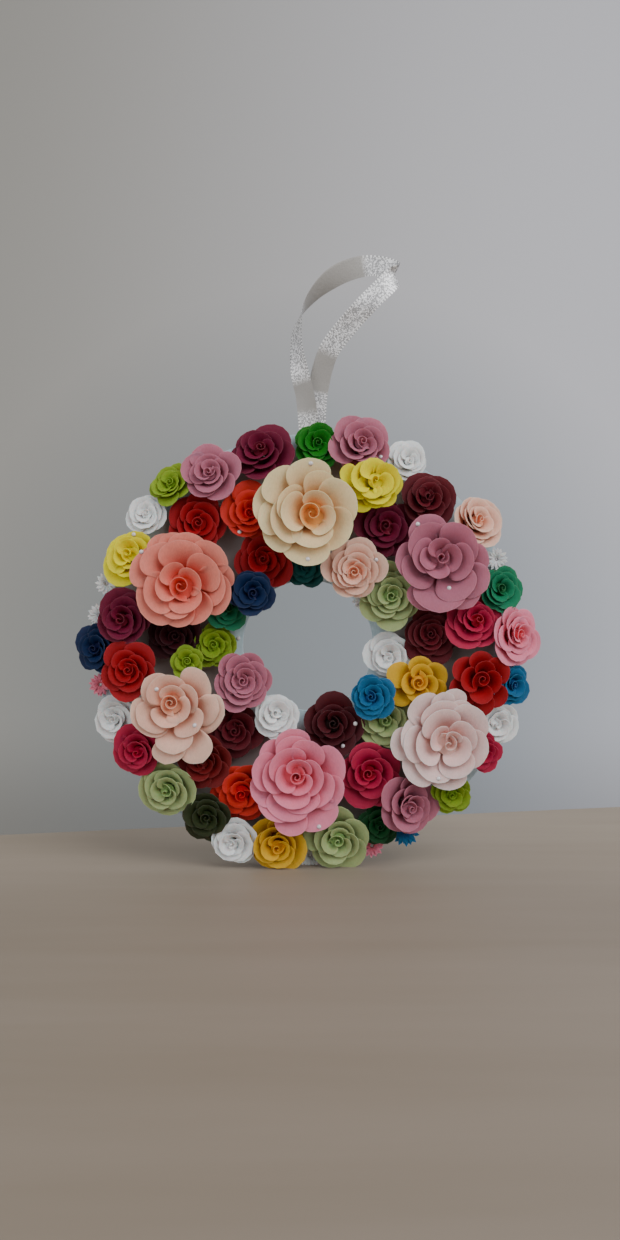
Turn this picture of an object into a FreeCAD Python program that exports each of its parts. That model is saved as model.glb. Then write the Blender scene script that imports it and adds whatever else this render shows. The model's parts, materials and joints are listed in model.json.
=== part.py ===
"""Paper flower wreath, in millimetres.

The wreath stands upright: +Z is up, the flowers face -Y, and the origin is the middle of the
board's flat back. Roses are laid one after another, the lowest first, and each is lifted on its
foot until its petals clear everything that was laid before it.
"""
import FreeCAD, Part
import math
import os

os.makedirs("parts", exist_ok=True)

V = FreeCAD.Vector

# ---- driving dimensions
BOARD_OUTER_R = 105.0
BOARD_HOLE_R = 32.5
BOARD_T = 3.0
PAPER_T = 0.35          # petal paper, drawn a little heavy so that it stands up
CLEARANCE = 0.3         # air between one flower's petals and the next
RIBBON_W = 10.0
RIBBON_T = 0.35
GEM_R = 1.1
GEM_H = 0.85
FOOT_SHARE = 0.8        # radius of a foot over that of the flower's flat base
FOOT_SIDES = 8
ROLL_TURNS = 2.5

BAND_MIDDLE_R = (BOARD_OUTER_R + BOARD_HOLE_R) / 2


# corners of one petal's edge: share of its width, and how far it reaches where 0 is the notch
# between two petals and 1 is the tip
ROUND_PETAL = ((0.0, 0.0), (0.17, 0.84), (0.5, 1.0), (0.83, 0.84))
POINTED_PETAL = ((0.0, 0.0), (0.5, 1.0))


class Form:
    """One kind of flower: nested rings of petals that all rise from one flat base.

    radius and rim are the outermost ring's reach and height, crown is the innermost ring's
    height, petals gives the number of petals in each ring, from the outside in, and notch is the
    share of a petal's free length by which two neighbours are cut apart.
    """

    def __init__(self, radius, rim, crown, petals, notch, shrink, base=0.30, edge=ROUND_PETAL):
        self.radius = radius
        self.rim = rim
        self.crown = crown
        self.petals = petals
        self.notch = notch
        self.shrink = shrink
        self.base = base
        self.edge = edge

    def walls(self):
        """Outer and inner section (r, z) of each ring: base corner, knee, tip."""
        sections = []
        count = len(self.petals)
        for k in range(count):
            inward = k / count
            reach = self.radius * (1 - self.shrink * inward)
            foot_r = self.radius * self.base * (1 - 0.8 * inward)
            floor = 1.3 * PAPER_T * k
            tip_z = self.rim + (self.crown - self.rim) * inward ** 0.7
            knee_r = foot_r + (reach - foot_r) * (0.42 - 0.10 * inward)
            knee_z = floor + (tip_z - floor) * (0.70 - 0.06 * inward)
            outside = [(foot_r, floor), (knee_r, knee_z), (reach, tip_z)]
            sections.append((outside, sideways(outside, PAPER_T)))
        return sections

    def corners(self, k):
        """Angle of each corner of ring k, and how far it goes from knee to tip there."""
        count = self.petals[k]
        turned = k * (math.pi / count + 0.35)
        depth = self.notch * (1 - 0.5 * k / len(self.petals))
        placed = []
        for petal in range(count):
            drift = 0.10 * math.sin(2.4 * petal + k)
            length = 1 - 0.07 * (0.5 + 0.5 * math.sin(1.9 * petal + 1.3 * k))
            for across, reach in self.edge:
                share = petal + across + drift * across * (1 - across)
                free = 1 - depth * (1 - reach)
                if reach > 0:
                    free *= length
                placed.append((turned + 2 * math.pi * share / count, free))
        return placed

    def floor_z(self):
        """Height of the flat floor in the middle."""
        rolled = self.edge is ROUND_PETAL
        return self.walls()[-1][1][1][1] * (0.35 if rolled else 0.8)


LARGE = Form(24.5, 13.0, 20.0, (8, 7, 6, 5, 4), 0.36, 0.86)
MEDIUM = Form(14.5, 8.0, 13.0, (7, 6, 5, 4), 0.38, 0.86)
BUD = Form(13.5, 9.0, 14.5, (6, 5, 5, 4), 0.34, 0.80)
SMALL = Form(10.5, 6.0, 9.5, (6, 5, 4), 0.38, 0.82)
RUFFLED = Form(10.0, 5.5, 9.0, (7, 6, 5), 0.42, 0.84)
TINY = Form(8.5, 5.0, 7.5, (6, 5), 0.38, 0.70)
DAISY = Form(5.6, 1.6, 2.4, (14, 14), 0.75, 0.60, base=0.42, edge=POINTED_PETAL)

# ---- the flowers, in the order in which they are laid
# node, form, size, row, clock angle, distance from the row's line, tilt, direction of tilt, spin
# Outer flowers are measured inwards from the board's rim, inner ones outwards from the hole, and
# middle ones outwards from the middle of the band. Tilt leans the flower's face along the clock
# direction "tilt way", counted from straight outwards.
FLOWERS = [
    ("white_daisies", DAISY, 1.0, "outer", 287.0, 2.6, 0, 0, 0),
    ("white_daisies", DAISY, 1.0, "outer", 278.4, 2.6, 0, 0, 9),
    ("white_daisies", DAISY, 1.0, "outer", 179.2, 2.6, 0, 0, 5),
    ("white_daisies", DAISY, 1.0, "outer", 65.5, 3.2, 0, 0, 3),
    ("white_daisies", DAISY, 1.0, "inner", 48.5, 3.0, 0, 0, 7),
    ("pink_daisies", DAISY, 1.0, "outer", 259.0, 2.6, 0, 0, 4),
    ("pink_daisies", DAISY, 1.0, "outer", 162.2, 2.6, 0, 0, 8),
    ("blue_daisy", DAISY, 1.08, "outer", 152.5, 2.6, 0, 0, 2),
    ("small_white_roses", RUFFLED, 1.0, "inner", 96.0, 6.0, 6, 180, 35),
    ("orange_rose_bottom", MEDIUM, 0.97, "middle", 203.6, 7.6, 3, 0, 62),
    ("small_lime_roses", SMALL, 0.95, "inner", 270.0, 13.0, 4, 180, 70),
    ("red_rose_top", MEDIUM, 1.0, "middle", 318.5, 9.5, 3, 0, 60),
    ("pine_rose", SMALL, 0.92, "outer", 158.4, 11.5, 6, 0, 30),
    ("teal_rose", SMALL, 0.84, "inner", 0.0, 4.5, 6, 180, 20),
    ("small_white_roses", RUFFLED, 1.0, "outer", 111.7, 4.6, 16, 0, 40),
    ("plum_rose_right", MEDIUM, 1.03, "middle", 33.7, -0.3, 3, 0, 12),
    ("sage_rose_inner", SMALL, 1.24, "inner", 135.6, 20.9, 4, 180, 16),
    ("small_white_roses", RUFFLED, 1.0, "outer", 249.7, 5.8, 12, 0, 25),
    ("sage_rose_left", BUD, 1.0, "outer", 225.0, 8.8, 12, 0, 3),
    ("crimson_rose_bottom", MEDIUM, 1.03, "middle", 154.2, 0.1, 2, 0, 29),
    ("red_rose_inner", MEDIUM, 0.97, "inner", 333.4, 12.2, 5, 180, 38),
    ("orange_rose_top", MEDIUM, 0.93, "middle", 336.5, 2.0, 2, 0, 24),
    ("brown_rose", MEDIUM, 1.0, "inner", 163.9, 7.1, 5, 180, 11),
    ("small_lime_roses", SMALL, 0.95, "outer", 135.4, 4.8, 14, 0, 12),
    ("emerald_rose_left", SMALL, 0.92, "inner", 292.8, 8.6, 5, 180, 15),
    ("small_crimson_rose", SMALL, 0.92, "outer", 121.0, 4.2, 12, 0, 10),
    ("green_rose_top", SMALL, 0.88, "outer", 1.8, 7.2, 6, 0, 8),
    ("maroon_rose_bottom", MEDIUM, 0.90, "middle", 219.7, -15.5, 4, 180, 55),
    ("small_white_roses", RUFFLED, 1.0, "inner", 202.4, 5.2, 6, 180, 5),
    ("small_white_roses", RUFFLED, 1.0, "outer", 28.2, 3.2, 14, 0, 0),
    ("small_white_roses", RUFFLED, 1.0, "outer", 200.6, 5.4, 10, 0, 15),
    ("plum_rose_top", MEDIUM, 1.03, "outer", 346.8, 8.5, 8, 0, 61),
    ("maroon_rose_top", BUD, 1.0, "outer", 39.2, 13.3, 8, 0, 32),
    ("emerald_rose_right", SMALL, 1.04, "outer", 73.2, 6.4, 16, 0, 66),
    ("mauve_rose_inner", MEDIUM, 1.0, "inner", 239.3, 4.9, 5, 180, 57),
    ("navy_rose_left", SMALL, 1.08, "outer", 269.4, 3.4, 24, 0, 14),
    ("dark_plum_rose", MEDIUM, 0.90, "middle", 276.1, -2.4, 3, 0, 18),
    ("maroon_rose_right", MEDIUM, 0.90, "middle", 85.1, -10.6, 2, 0, 48),
    ("navy_rose_inner", SMALL, 1.0, "inner", 311.9, 4.4, 6, 180, 52),
    ("mauve_rose_bottom", MEDIUM, 1.0, "outer", 147.2, 14.6, 8, 0, 5),
    ("golden_rose_right", MEDIUM, 1.03, "inner", 109.1, 22.5, 2, 0, 22),
    ("peach_rose_right", BUD, 0.98, "outer", 54.3, 4.2, 24, 0, 13),
    ("crimson_rose_right", BUD, 1.0, "middle", 82.9, 11.9, 4, 0, 58),
    ("tiny_lime_rose", TINY, 0.95, "middle", 262.3, -9.3, 4, 180, 33),
    ("sage_rose_bottom", MEDIUM, 1.03, "outer", 171.3, 11.9, 8, 0, 19),
    ("small_white_roses", RUFFLED, 1.0, "outer", 308.9, 4.6, 14, 0, 60),
    ("small_lime_roses", SMALL, 0.95, "outer", 319.4, 4.0, 12, 0, 44),
    ("yellow_rose_left", BUD, 1.0, "outer", 296.3, 9.4, 20, 0, 42),
    ("mauve_rose_left", MEDIUM, 1.03, "outer", 331.0, 10.1, 10, 0, 23),
    ("mauve_rose_right", MEDIUM, 1.0, "outer", 14.2, 4.0, 12, 0, 54),
    ("small_cerulean_rose", SMALL, 0.90, "outer", 100.6, 3.4, 26, 0, 50),
    ("plum_rose_left", BUD, 0.92, "outer", 279.7, 15.7, 6, 0, 27),
    ("sage_rose_right", MEDIUM, 1.0, "inner", 60.6, 12.3, 4, 180, 40),
    ("peach_rose_inner", MEDIUM, 1.03, "inner", 31.2, 11.9, 5, 180, 7),
    ("pink_rose_right", MEDIUM, 0.98, "outer", 87.1, 4.9, 30, 0, 45),
    ("red_rose_right", MEDIUM, 1.03, "middle", 101.6, 15.9, 4, 0, 26),
    ("golden_rose_bottom", BUD, 0.97, "outer", 188.4, 9.0, 8, 0, 47),
    ("olive_rose", SMALL, 1.08, "outer", 210.9, 9.0, 8, 0, 21),
    ("red_rose_left", MEDIUM, 0.97, "outer", 262.0, 19.2, 4, 0, 51),
    ("raspberry_rose", BUD, 0.93, "outer", 240.0, 9.1, 12, 0, 36),
    ("yellow_rose_top", BUD, 1.06, "outer", 21.3, 22.4, 4, 0, 17),
    ("dark_red_rose", MEDIUM, 0.90, "middle", 220.8, 8.3, 2, 0, 9),
    ("cerulean_rose_inner", SMALL, 1.0, "inner", 127.3, 5.8, 6, 180, 31),
    ("cream_rose", LARGE, 1.0, "middle", 359.1, -3.7, 0, 0, 4),
    ("large_mauve_rose", LARGE, 0.94, "middle", 59.0, 7.0, 3, 0, 19),
    ("blush_rose", LARGE, 0.96, "middle", 125.5, 8.6, 3, 0, 33),
    ("large_pink_rose", LARGE, 0.98, "middle", 184.4, -3.5, 0, 0, 11),
    ("large_peach_rose", LARGE, 0.90, "middle", 241.6, 0.6, 2, 0, 27),
    ("salmon_rose", LARGE, 1.04, "middle", 298.5, -1.6, 2, 0, 41),
]

# ---- half pearls on petals: node of the flower, clock direction on it, place from knee to tip
PETAL_GEMS = [
    ("cream_rose", 8, 0.70),
    ("cream_rose", 180, 0.70),
    ("salmon_rose", 318, 0.70),
    ("large_mauve_rose", 325, 0.70),
    ("large_mauve_rose", 158, 0.70),
    ("blush_rose", 182, 0.70),
    ("large_pink_rose", 137, 0.70),
    ("large_peach_rose", 300, 0.70),
]
# half pearls on the bare board: distance from the board's nearest edge (minus for the rim), clock
BOARD_GEMS = [
    (-2.2, 217.0),
    (-2.2, 254.2),
    (2.4, 275.6),
]

# ---- ribbon: places of its middle line and the way its width points there
RIBBON_BACK = [
    ((0.6, 0.525, 84.0), (1.0, 0.0, 0.0)),
    ((0.6, 0.525, 94.0), (1.0, 0.0, 0.0)),
    ((0.6, 0.525, 104.0), (1.0, 0.0, 0.0)),
    ((0.4, 0.8, 109.0), (1.0, -0.1, 0.1)),
    ((-1.3, 3.0, 122.7), (0.9, -0.4, 0.13)),
    ((-4.1, 4.6, 134.7), (0.85, -0.5, 0.15)),
    ((-5.7, 5.2, 146.3), (0.6, -0.78, 0.05)),
    ((-5.2, 5.0, 157.2), (0.42, -0.9, 0.0)),
    ((-2.0, 4.6, 166.5), (-0.05, -1.0, 0.1)),
    ((4.9, 4.0, 175.6), (-0.4, -0.85, 0.3)),
    ((13.6, 3.2, 182.6), (-0.43, -0.5, 0.75)),
    ((22.9, 2.8, 186.7), (-0.3, -0.2, 0.93)),
    ((31.5, 3.0, 187.9), (0.0, 0.0, 1.0)),
    ((39.0, 4.6, 186.0), (0.1, 0.0, 1.0)),
    ((43.0, 8.2, 181.9), (0.05, 0.0, 1.0)),
]
RIBBON_FRONT = [
    ((43.0, 8.2, 181.9), (0.05, 0.0, 1.0)),
    ((39.5, 11.4, 176.9), (-0.45, 0.0, 0.9)),
    ((31.7, 12.4, 169.0), (-0.72, 0.0, 0.7)),
    ((24.5, 11.4, 161.7), (-0.7, -0.25, 0.66)),
    ((17.1, 9.4, 153.6), (-0.76, -0.1, 0.65)),
    ((10.6, 7.0, 145.3), (-0.85, 0.0, 0.5)),
    ((7.4, 4.4, 137.3), (-0.95, 0.0, 0.25)),
    ((5.6, 2.4, 129.6), (-1.0, 0.0, 0.15)),
    ((4.4, 1.3, 122.1), (-1.0, 0.0, 0.05)),
    ((3.8, 0.175, 111.0), (-1.0, 0.0, 0.0)),
    ((3.7, 0.175, 107.0), (-1.0, 0.0, 0.0)),
    ((3.7, 0.175, 104.0), (-1.0, 0.0, 0.0)),
    ((3.7, 0.175, 94.0), (-1.0, 0.0, 0.0)),
    ((3.7, 0.175, 84.0), (-1.0, 0.0, 0.0)),
]
RIBBON_STEPS = 5        # pieces of ribbon between one place and the next


# ---- small helpers
def sideways(points, distance):
    """The same section line moved to its left by a distance, with mitred corners."""
    normals = []
    for (r0, z0), (r1, z1) in zip(points, points[1:]):
        length = math.hypot(r1 - r0, z1 - z0)
        normals.append((-(z1 - z0) / length, (r1 - r0) / length))
    moved = []
    for i, (r, z) in enumerate(points):
        before = normals[max(i - 1, 0)]
        after = normals[min(i, len(normals) - 1)]
        scale = distance / (1 + before[0] * after[0] + before[1] * after[1])
        moved.append((r + scale * (before[0] + after[0]), z + scale * (before[1] + after[1])))
    return moved


def flat_face(points):
    return Part.Face(Part.makePolygon(points + [points[0]]))


def band(low, high, split=False):
    """Faces between two closed rings of points; split makes each of them two triangles."""
    faces = []
    count = len(low)
    for j in range(count):
        after = (j + 1) % count
        a, b, c, d = low[j], low[after], high[after], high[j]
        if split:
            faces.append(flat_face([a, b, c]))
            faces.append(flat_face([a, c, d]))
        else:
            faces.append(flat_face([a, b, c, d]))
    return faces


def flat_ring(outer, inner):
    """Flat face between two closed rings of points at one height."""
    return flat_face(outer).cut(flat_face(inner)).Faces[0]


def solid_from(faces):
    shell = Part.makeShell(faces)
    shell.sewShape()
    solid = Part.makeSolid(shell)
    if solid.Volume < 0:
        solid.reverse()
    return solid


def on_board(x, height, z):
    """A point at this height in front of the board's face."""
    return V(x, -BOARD_T - height, z)


def along(start, end, share):
    return (start[0] + (end[0] - start[0]) * share, start[1] + (end[1] - start[1]) * share)


# ---- one flower, standing on the origin with its axis up +Z
def ring(section_point, corners):
    r, z = section_point
    return [V(r * math.cos(angle), r * math.sin(angle), z) for angle, _ in corners]


def petal_rim(knee, tip, corners):
    """The scalloped edge of a ring: every point stays on the straight line from knee to tip."""
    points = []
    for angle, reach in corners:
        r, z = along(knee, tip, reach)
        points.append(V(r * math.cos(angle), r * math.sin(angle), z))
    return points


def centre_roll(form, floor_r):
    """The tightly rolled strip in the middle: a spiral of half circles, standing on the floor."""
    start_r = 0.20 * floor_r
    room = floor_r - start_r - PAPER_T
    halves = min(int(2 * ROLL_TURNS), int(2 * room / (1.8 * PAPER_T)))
    pitch = 2 * room / halves
    floor = form.floor_z()
    inner, outer = [], []
    centre, r = 0.0, start_r
    for half in range(halves):
        way = 1 if half % 2 == 0 else -1
        for radius, arcs in ((r, inner), (r + PAPER_T, outer)):
            arc = Part.Arc(V(centre + way * radius, 0, floor), V(centre, way * radius, floor),
                           V(centre - way * radius, 0, floor))
            arcs.append(arc.toShape())
        centre += way * pitch / 2
        r += pitch / 2
    ends = []
    for i in (0, -1):
        a = inner[i].Vertexes[i].Point
        b = outer[i].Vertexes[i].Point
        ends.append(Part.LineSegment(a, b).toShape())
    outline = Part.Wire(Part.__sortEdges__(inner + outer + ends))
    return Part.Face(outline).extrude(V(0, 0, form.crown * 0.94 - floor))


def flower_solid(form):
    """Closed solid of all petal rings, from the flat base to the floor in the middle."""
    walls = form.walls()
    faces = []
    floor = None
    for k, (outside, inside) in enumerate(walls):
        corners = form.corners(k)
        foot = ring(outside[0], corners)
        faces.append(flat_face(foot) if floor is None else flat_ring(floor, foot))
        knee = ring(outside[1], corners)
        inner_knee = ring(inside[1], corners)
        rim = petal_rim(outside[1], outside[2], corners)
        inner_rim = petal_rim(inside[1], inside[2], corners)
        if k + 1 < len(walls):
            floor_z = walls[k + 1][0][0][1]
        else:
            floor_z = form.floor_z()
        rise = (floor_z - inside[0][1]) / (inside[1][1] - inside[0][1])
        floor_r = along(inside[0], inside[1], rise)[0]
        floor = ring((floor_r, floor_z), corners)
        faces += band(foot, knee)
        faces += band(knee, rim)
        faces += band(rim, inner_rim, split=True)
        faces += band(inner_rim, inner_knee)
        faces += band(inner_knee, floor)
    faces.append(flat_face(floor))
    solid = solid_from(faces)
    if form.edge is ROUND_PETAL:
        solid = solid.fuse(centre_roll(form, 0.94 * floor_r))
    return solid


# ---- where each flower goes
class Laid:
    """A flower in its place on the board."""

    def __init__(self, node, form, size, row, clock, distance, tilt, tilt_way, spin):
        self.node = node
        self.form = form
        self.size = size
        if row == "outer":
            radius = BOARD_OUTER_R - distance
        elif row == "inner":
            radius = BOARD_HOLE_R + distance
        else:
            radius = BAND_MIDDLE_R + distance
        angle = math.radians(clock)
        self.x = radius * math.sin(angle)
        self.z = radius * math.cos(angle)
        lean = math.radians(clock + tilt_way)
        hinge = V(math.cos(lean), 0, -math.sin(lean))
        upright = FreeCAD.Rotation(V(1, 0, 0), 90)
        self.turn = FreeCAD.Rotation(hinge, -tilt) * upright * FreeCAD.Rotation(V(0, 0, 1), spin)
        self.floor = 0.0
        self.lift = 0.0

    def placement(self):
        return FreeCAD.Placement(on_board(self.x, self.lift, self.z), self.turn)

    def foot_radius(self):
        return self.form.base * self.form.radius * self.size * FOOT_SHARE

    def samples(self, section):
        """World points (x, height, z), for no lift, of a section swept round the flower."""
        points = []
        steps = 36
        for start, end in zip(section, section[1:]):
            length = math.hypot(end[0] - start[0], end[1] - start[1]) * self.size
            count = max(int(length / 0.8), 1)
            for i in range(count + 1):
                r, z = along(start, end, i / count)
                for j in range(steps):
                    angle = 2 * math.pi * j / steps
                    local = V(r * math.cos(angle), r * math.sin(angle), z) * self.size
                    world = self.turn.multVec(local)
                    points.append((self.x + world.x, -world.y, self.z + world.z))
        return points

    def underside(self):
        return self.samples([(0.0, 0.0)] + self.form.walls()[0][0])

    def topside(self):
        points = []
        for _, inside in self.form.walls():
            points += self.samples(inside)
        points += self.samples([(0.0, self.form.crown), (self.form.radius * 0.12, self.form.crown)])
        return points


class Relief:
    """How high the work stands in front of the board so far, on a square grid."""

    CELL = 1.2

    def __init__(self):
        self.height = {}

    def key(self, x, z):
        return (round(x / self.CELL), round(z / self.CELL))

    def under(self, x, z):
        """Highest thing at or beside this spot. Past the board's edges it is the wall behind."""
        i, j = self.key(x, z)
        near = [self.height.get((i + a, j + b), -BOARD_T) for a in (-1, 0, 1) for b in (-1, 0, 1)]
        on_it = BOARD_HOLE_R - self.CELL < math.hypot(x, z) < BOARD_OUTER_R + self.CELL
        return max(near + [0.0]) if on_it else max(near)

    def add(self, points, lift):
        for x, height, z in points:
            spot = self.key(x, z)
            self.height[spot] = max(self.height.get(spot, -BOARD_T), height + lift)


def lay_flowers():
    """Lift each flower, in order, clear of what lies under it."""
    relief = Relief()
    relief.add([(x, 2 * RIBBON_T, z) for x in range(-5, 10) for z in range(84, 107)], 0.0)
    laid = []
    for row in FLOWERS:
        flower = Laid(*row)
        if flower.node == "green_rose_top":
            flower.floor = 2 * RIBBON_T
        under = flower.underside()
        flower.lift = max(relief.under(x, z) + CLEARANCE - height for x, height, z in under)
        relief.add(flower.topside(), flower.lift)
        laid.append(flower)
    return laid


def foot_solid(flower):
    """Card post from the board's face up to the flower's flat base, square to the board."""
    r = flower.foot_radius()
    turn = 2 * math.pi / FOOT_SIDES
    corners = []
    for j in range(FOOT_SIDES):
        angle = (j + 0.5) * turn
        corners.append(on_board(flower.x + r * math.cos(angle), flower.floor,
                                flower.z + r * math.sin(angle)))
    height = flower.lift - flower.floor + r
    post = flat_face(corners).extrude(V(0, -height, 0))
    side = 4 * (r + height)
    above = Part.makeBox(side, side, side, V(-side / 2, -side / 2, 0))
    above.Placement = flower.placement()
    return post.cut(above)


def placed_flowers(laid):
    """Finished solids by node. A petal gives way where a later flower's foot comes through it."""
    patterns = {}
    by_node = {}
    for i, flower in enumerate(laid):
        if flower.form not in patterns:
            patterns[flower.form] = flower_solid(flower.form)
        shape = patterns[flower.form].copy()
        shape.scale(flower.size)
        shape.Placement = flower.placement()
        shape = shape.fuse(foot_solid(flower))
        for later in laid[i + 1:]:
            gap = math.hypot(flower.x - later.x, flower.z - later.z)
            hole_r = later.foot_radius() + CLEARANCE
            if gap < flower.form.radius * flower.size + hole_r:
                way = Part.makeCylinder(hole_r, 60, on_board(later.x, -1, later.z), V(0, -1, 0))
                shape = shape.cut(way)
        solids = sorted(shape.Solids, key=lambda s: s.Volume)
        by_node.setdefault(flower.node, []).append(solids[-1])
    return by_node


# ---- the other pieces
def base_board():
    disc = Part.makeCylinder(BOARD_OUTER_R, BOARD_T, V(0, 0, 0), V(0, -1, 0))
    return disc.cut(Part.makeCylinder(BOARD_HOLE_R, BOARD_T, V(0, 0, 0), V(0, -1, 0)))


def smooth(values, i, share):
    """Point on the smooth curve through a list, past place i by a share of the way to the next."""
    p0, p1 = values[max(i - 1, 0)], values[i]
    p2, p3 = values[i + 1], values[min(i + 2, len(values) - 1)]
    s = share
    return p1 + ((p2 - p0) * s + (p0 * 2 - p1 * 5 + p2 * 4 - p3) * s ** 2
                 + (p1 * 3 - p0 - p2 * 3 + p3) * s ** 3) * 0.5


def strap(stations):
    """Flat strap along a list of places, each with the way its width points."""
    middles = [on_board(*place) for place, _ in stations]
    widths = [V(*way) for _, way in stations]
    path, across = [], []
    for i in range(len(stations) - 1):
        for step in range(RIBBON_STEPS):
            path.append(smooth(middles, i, step / RIBBON_STEPS))
            across.append(smooth(widths, i, step / RIBBON_STEPS))
    path.append(middles[-1])
    across.append(widths[-1])
    sections = []
    for i, middle in enumerate(path):
        forward = path[min(i + 1, len(path) - 1)] - path[max(i - 1, 0)]
        forward.normalize()
        wide = across[i] - forward * across[i].dot(forward)
        wide.normalize()
        thick = forward.cross(wide) * (RIBBON_T / 2)
        wide = wide * (RIBBON_W / 2)
        sections.append([middle + wide + thick, middle - wide + thick,
                         middle - wide - thick, middle + wide - thick])
    faces = [flat_face(sections[0]), flat_face(sections[-1])]
    for here, there in zip(sections, sections[1:]):
        faces += band(here, there, split=True)
    return solid_from(faces)


def hanging_ribbon():
    return strap(RIBBON_BACK).fuse(strap(RIBBON_FRONT))


def gem():
    """Half pearl: a low dome on a flat back, axis up +Z."""
    ball_r = (GEM_R ** 2 + GEM_H ** 2) / (2 * GEM_H)
    half = math.asin(GEM_R / ball_r) / 2
    halfway = V(ball_r * math.sin(half), 0, GEM_H - ball_r * (1 - math.cos(half)))
    side = Part.Arc(V(GEM_R, 0, 0), halfway, V(0, 0, GEM_H)).toShape()
    back = Part.LineSegment(V(0, 0, 0), V(GEM_R, 0, 0)).toShape()
    axis = Part.LineSegment(V(0, 0, GEM_H), V(0, 0, 0)).toShape()
    return Part.Face(Part.Wire([back, side, axis])).revolve(V(0, 0, 0), V(0, 0, 1), 360)


def gem_on_petal(flower, clock, share):
    """Half pearl flat on the outer ring's petal that points nearest to a clock direction."""
    inside = flower.form.walls()[0][1]
    corners = flower.form.corners(0)
    facets = []
    for (start, start_reach), (end, end_reach) in zip(corners, corners[1:]):
        middle = (start + end) / 2
        world = flower.turn.multVec(V(math.cos(middle), math.sin(middle), 0))
        off = math.radians(clock) - math.atan2(world.x, world.z)
        off = abs(math.atan2(math.sin(off), math.cos(off)))
        if min(start_reach, end_reach) > share + GEM_R / flower.form.radius:
            facets.append((off, middle, math.cos((end - start) / 2)))
    _, angle, flat = min(facets)
    r, z = along(inside[1], inside[2], share)
    dr = (inside[2][0] - inside[1][0]) * flat
    dz = inside[2][1] - inside[1][1]
    steep = math.degrees(math.atan2(dz, dr))
    seat = FreeCAD.Placement(V(r * flat, 0, z) * flower.size,
                             FreeCAD.Rotation(V(0, 1, 0), -steep))
    spun = FreeCAD.Placement(V(0, 0, 0), FreeCAD.Rotation(V(0, 0, 1), math.degrees(angle)))
    pearl = gem()
    pearl.Placement = flower.placement() * spun * seat
    return pearl


def all_gems(laid):
    first = {}
    pearls = []
    for flower in laid:
        first.setdefault(flower.node, flower)
        if flower.form is DAISY:
            pearl = gem()
            middle = FreeCAD.Placement(V(0, 0, DAISY.floor_z() * flower.size), FreeCAD.Rotation())
            pearl.Placement = flower.placement() * middle
            pearls.append(pearl)
    for node, clock, share in PETAL_GEMS:
        pearls.append(gem_on_petal(first[node], clock, share))
    for distance, clock in BOARD_GEMS:
        radius = (BOARD_OUTER_R if distance < 0 else BOARD_HOLE_R) + distance
        angle = math.radians(clock)
        pearl = gem()
        pearl.Placement = FreeCAD.Placement(
            on_board(radius * math.sin(angle), 0, radius * math.cos(angle)),
            FreeCAD.Rotation(V(1, 0, 0), 90))
        pearls.append(pearl)
    return pearls


def export(node, solids):
    shape = solids[0] if len(solids) == 1 else Part.makeCompound(solids)
    shape.exportStep(os.path.join("parts", node + ".step"))


laid_flowers = lay_flowers()
export("base_board", [base_board()])
export("hanging_ribbon", hanging_ribbon().Solids)
export("half_pearls", all_gems(laid_flowers))
for node_name, node_solids in placed_flowers(laid_flowers).items():
    export(node_name, node_solids)
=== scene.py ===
"""Paper flower wreath: curled paper roses, daisies, half pearls and a silver ribbon loop.

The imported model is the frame. Each flower of the frame is replaced by one built from cut and curled
petals round a rolled strip, close to its size, place and tilt. Sizes are in metres unless a class
says otherwise. The wreath stands in the XZ plane with its flowers facing -Y.
"""
import json
import logging
import math
import random
from dataclasses import dataclass, field, replace
from enum import Enum

import bmesh
import bpy
import numpy as np
from mathutils import Matrix, Vector
from mathutils.bvhtree import BVHTree


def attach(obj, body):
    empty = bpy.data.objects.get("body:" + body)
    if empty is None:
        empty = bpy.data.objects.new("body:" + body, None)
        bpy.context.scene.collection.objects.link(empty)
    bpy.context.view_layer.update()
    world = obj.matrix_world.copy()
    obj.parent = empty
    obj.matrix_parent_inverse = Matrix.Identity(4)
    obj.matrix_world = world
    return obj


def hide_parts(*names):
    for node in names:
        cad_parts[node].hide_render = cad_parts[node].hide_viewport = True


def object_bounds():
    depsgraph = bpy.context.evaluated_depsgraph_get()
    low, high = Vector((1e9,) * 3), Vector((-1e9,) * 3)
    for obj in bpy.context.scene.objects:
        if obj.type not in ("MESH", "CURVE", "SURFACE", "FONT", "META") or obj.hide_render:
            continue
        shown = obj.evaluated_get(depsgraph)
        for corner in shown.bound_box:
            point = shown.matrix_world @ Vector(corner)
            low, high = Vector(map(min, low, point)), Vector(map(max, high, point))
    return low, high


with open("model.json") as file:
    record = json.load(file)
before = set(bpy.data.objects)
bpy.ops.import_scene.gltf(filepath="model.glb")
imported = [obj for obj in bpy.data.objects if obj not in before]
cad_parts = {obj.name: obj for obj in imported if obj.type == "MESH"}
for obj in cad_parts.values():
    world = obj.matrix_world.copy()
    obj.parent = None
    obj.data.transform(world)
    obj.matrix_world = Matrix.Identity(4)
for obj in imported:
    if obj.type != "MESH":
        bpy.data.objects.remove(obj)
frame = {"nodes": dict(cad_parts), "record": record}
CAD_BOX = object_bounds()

LOG = logging.getLogger("wreath")
MM = 0.001
SEED = 71
FRONT_Y = -0.2              # in front of everything on the wreath

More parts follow.
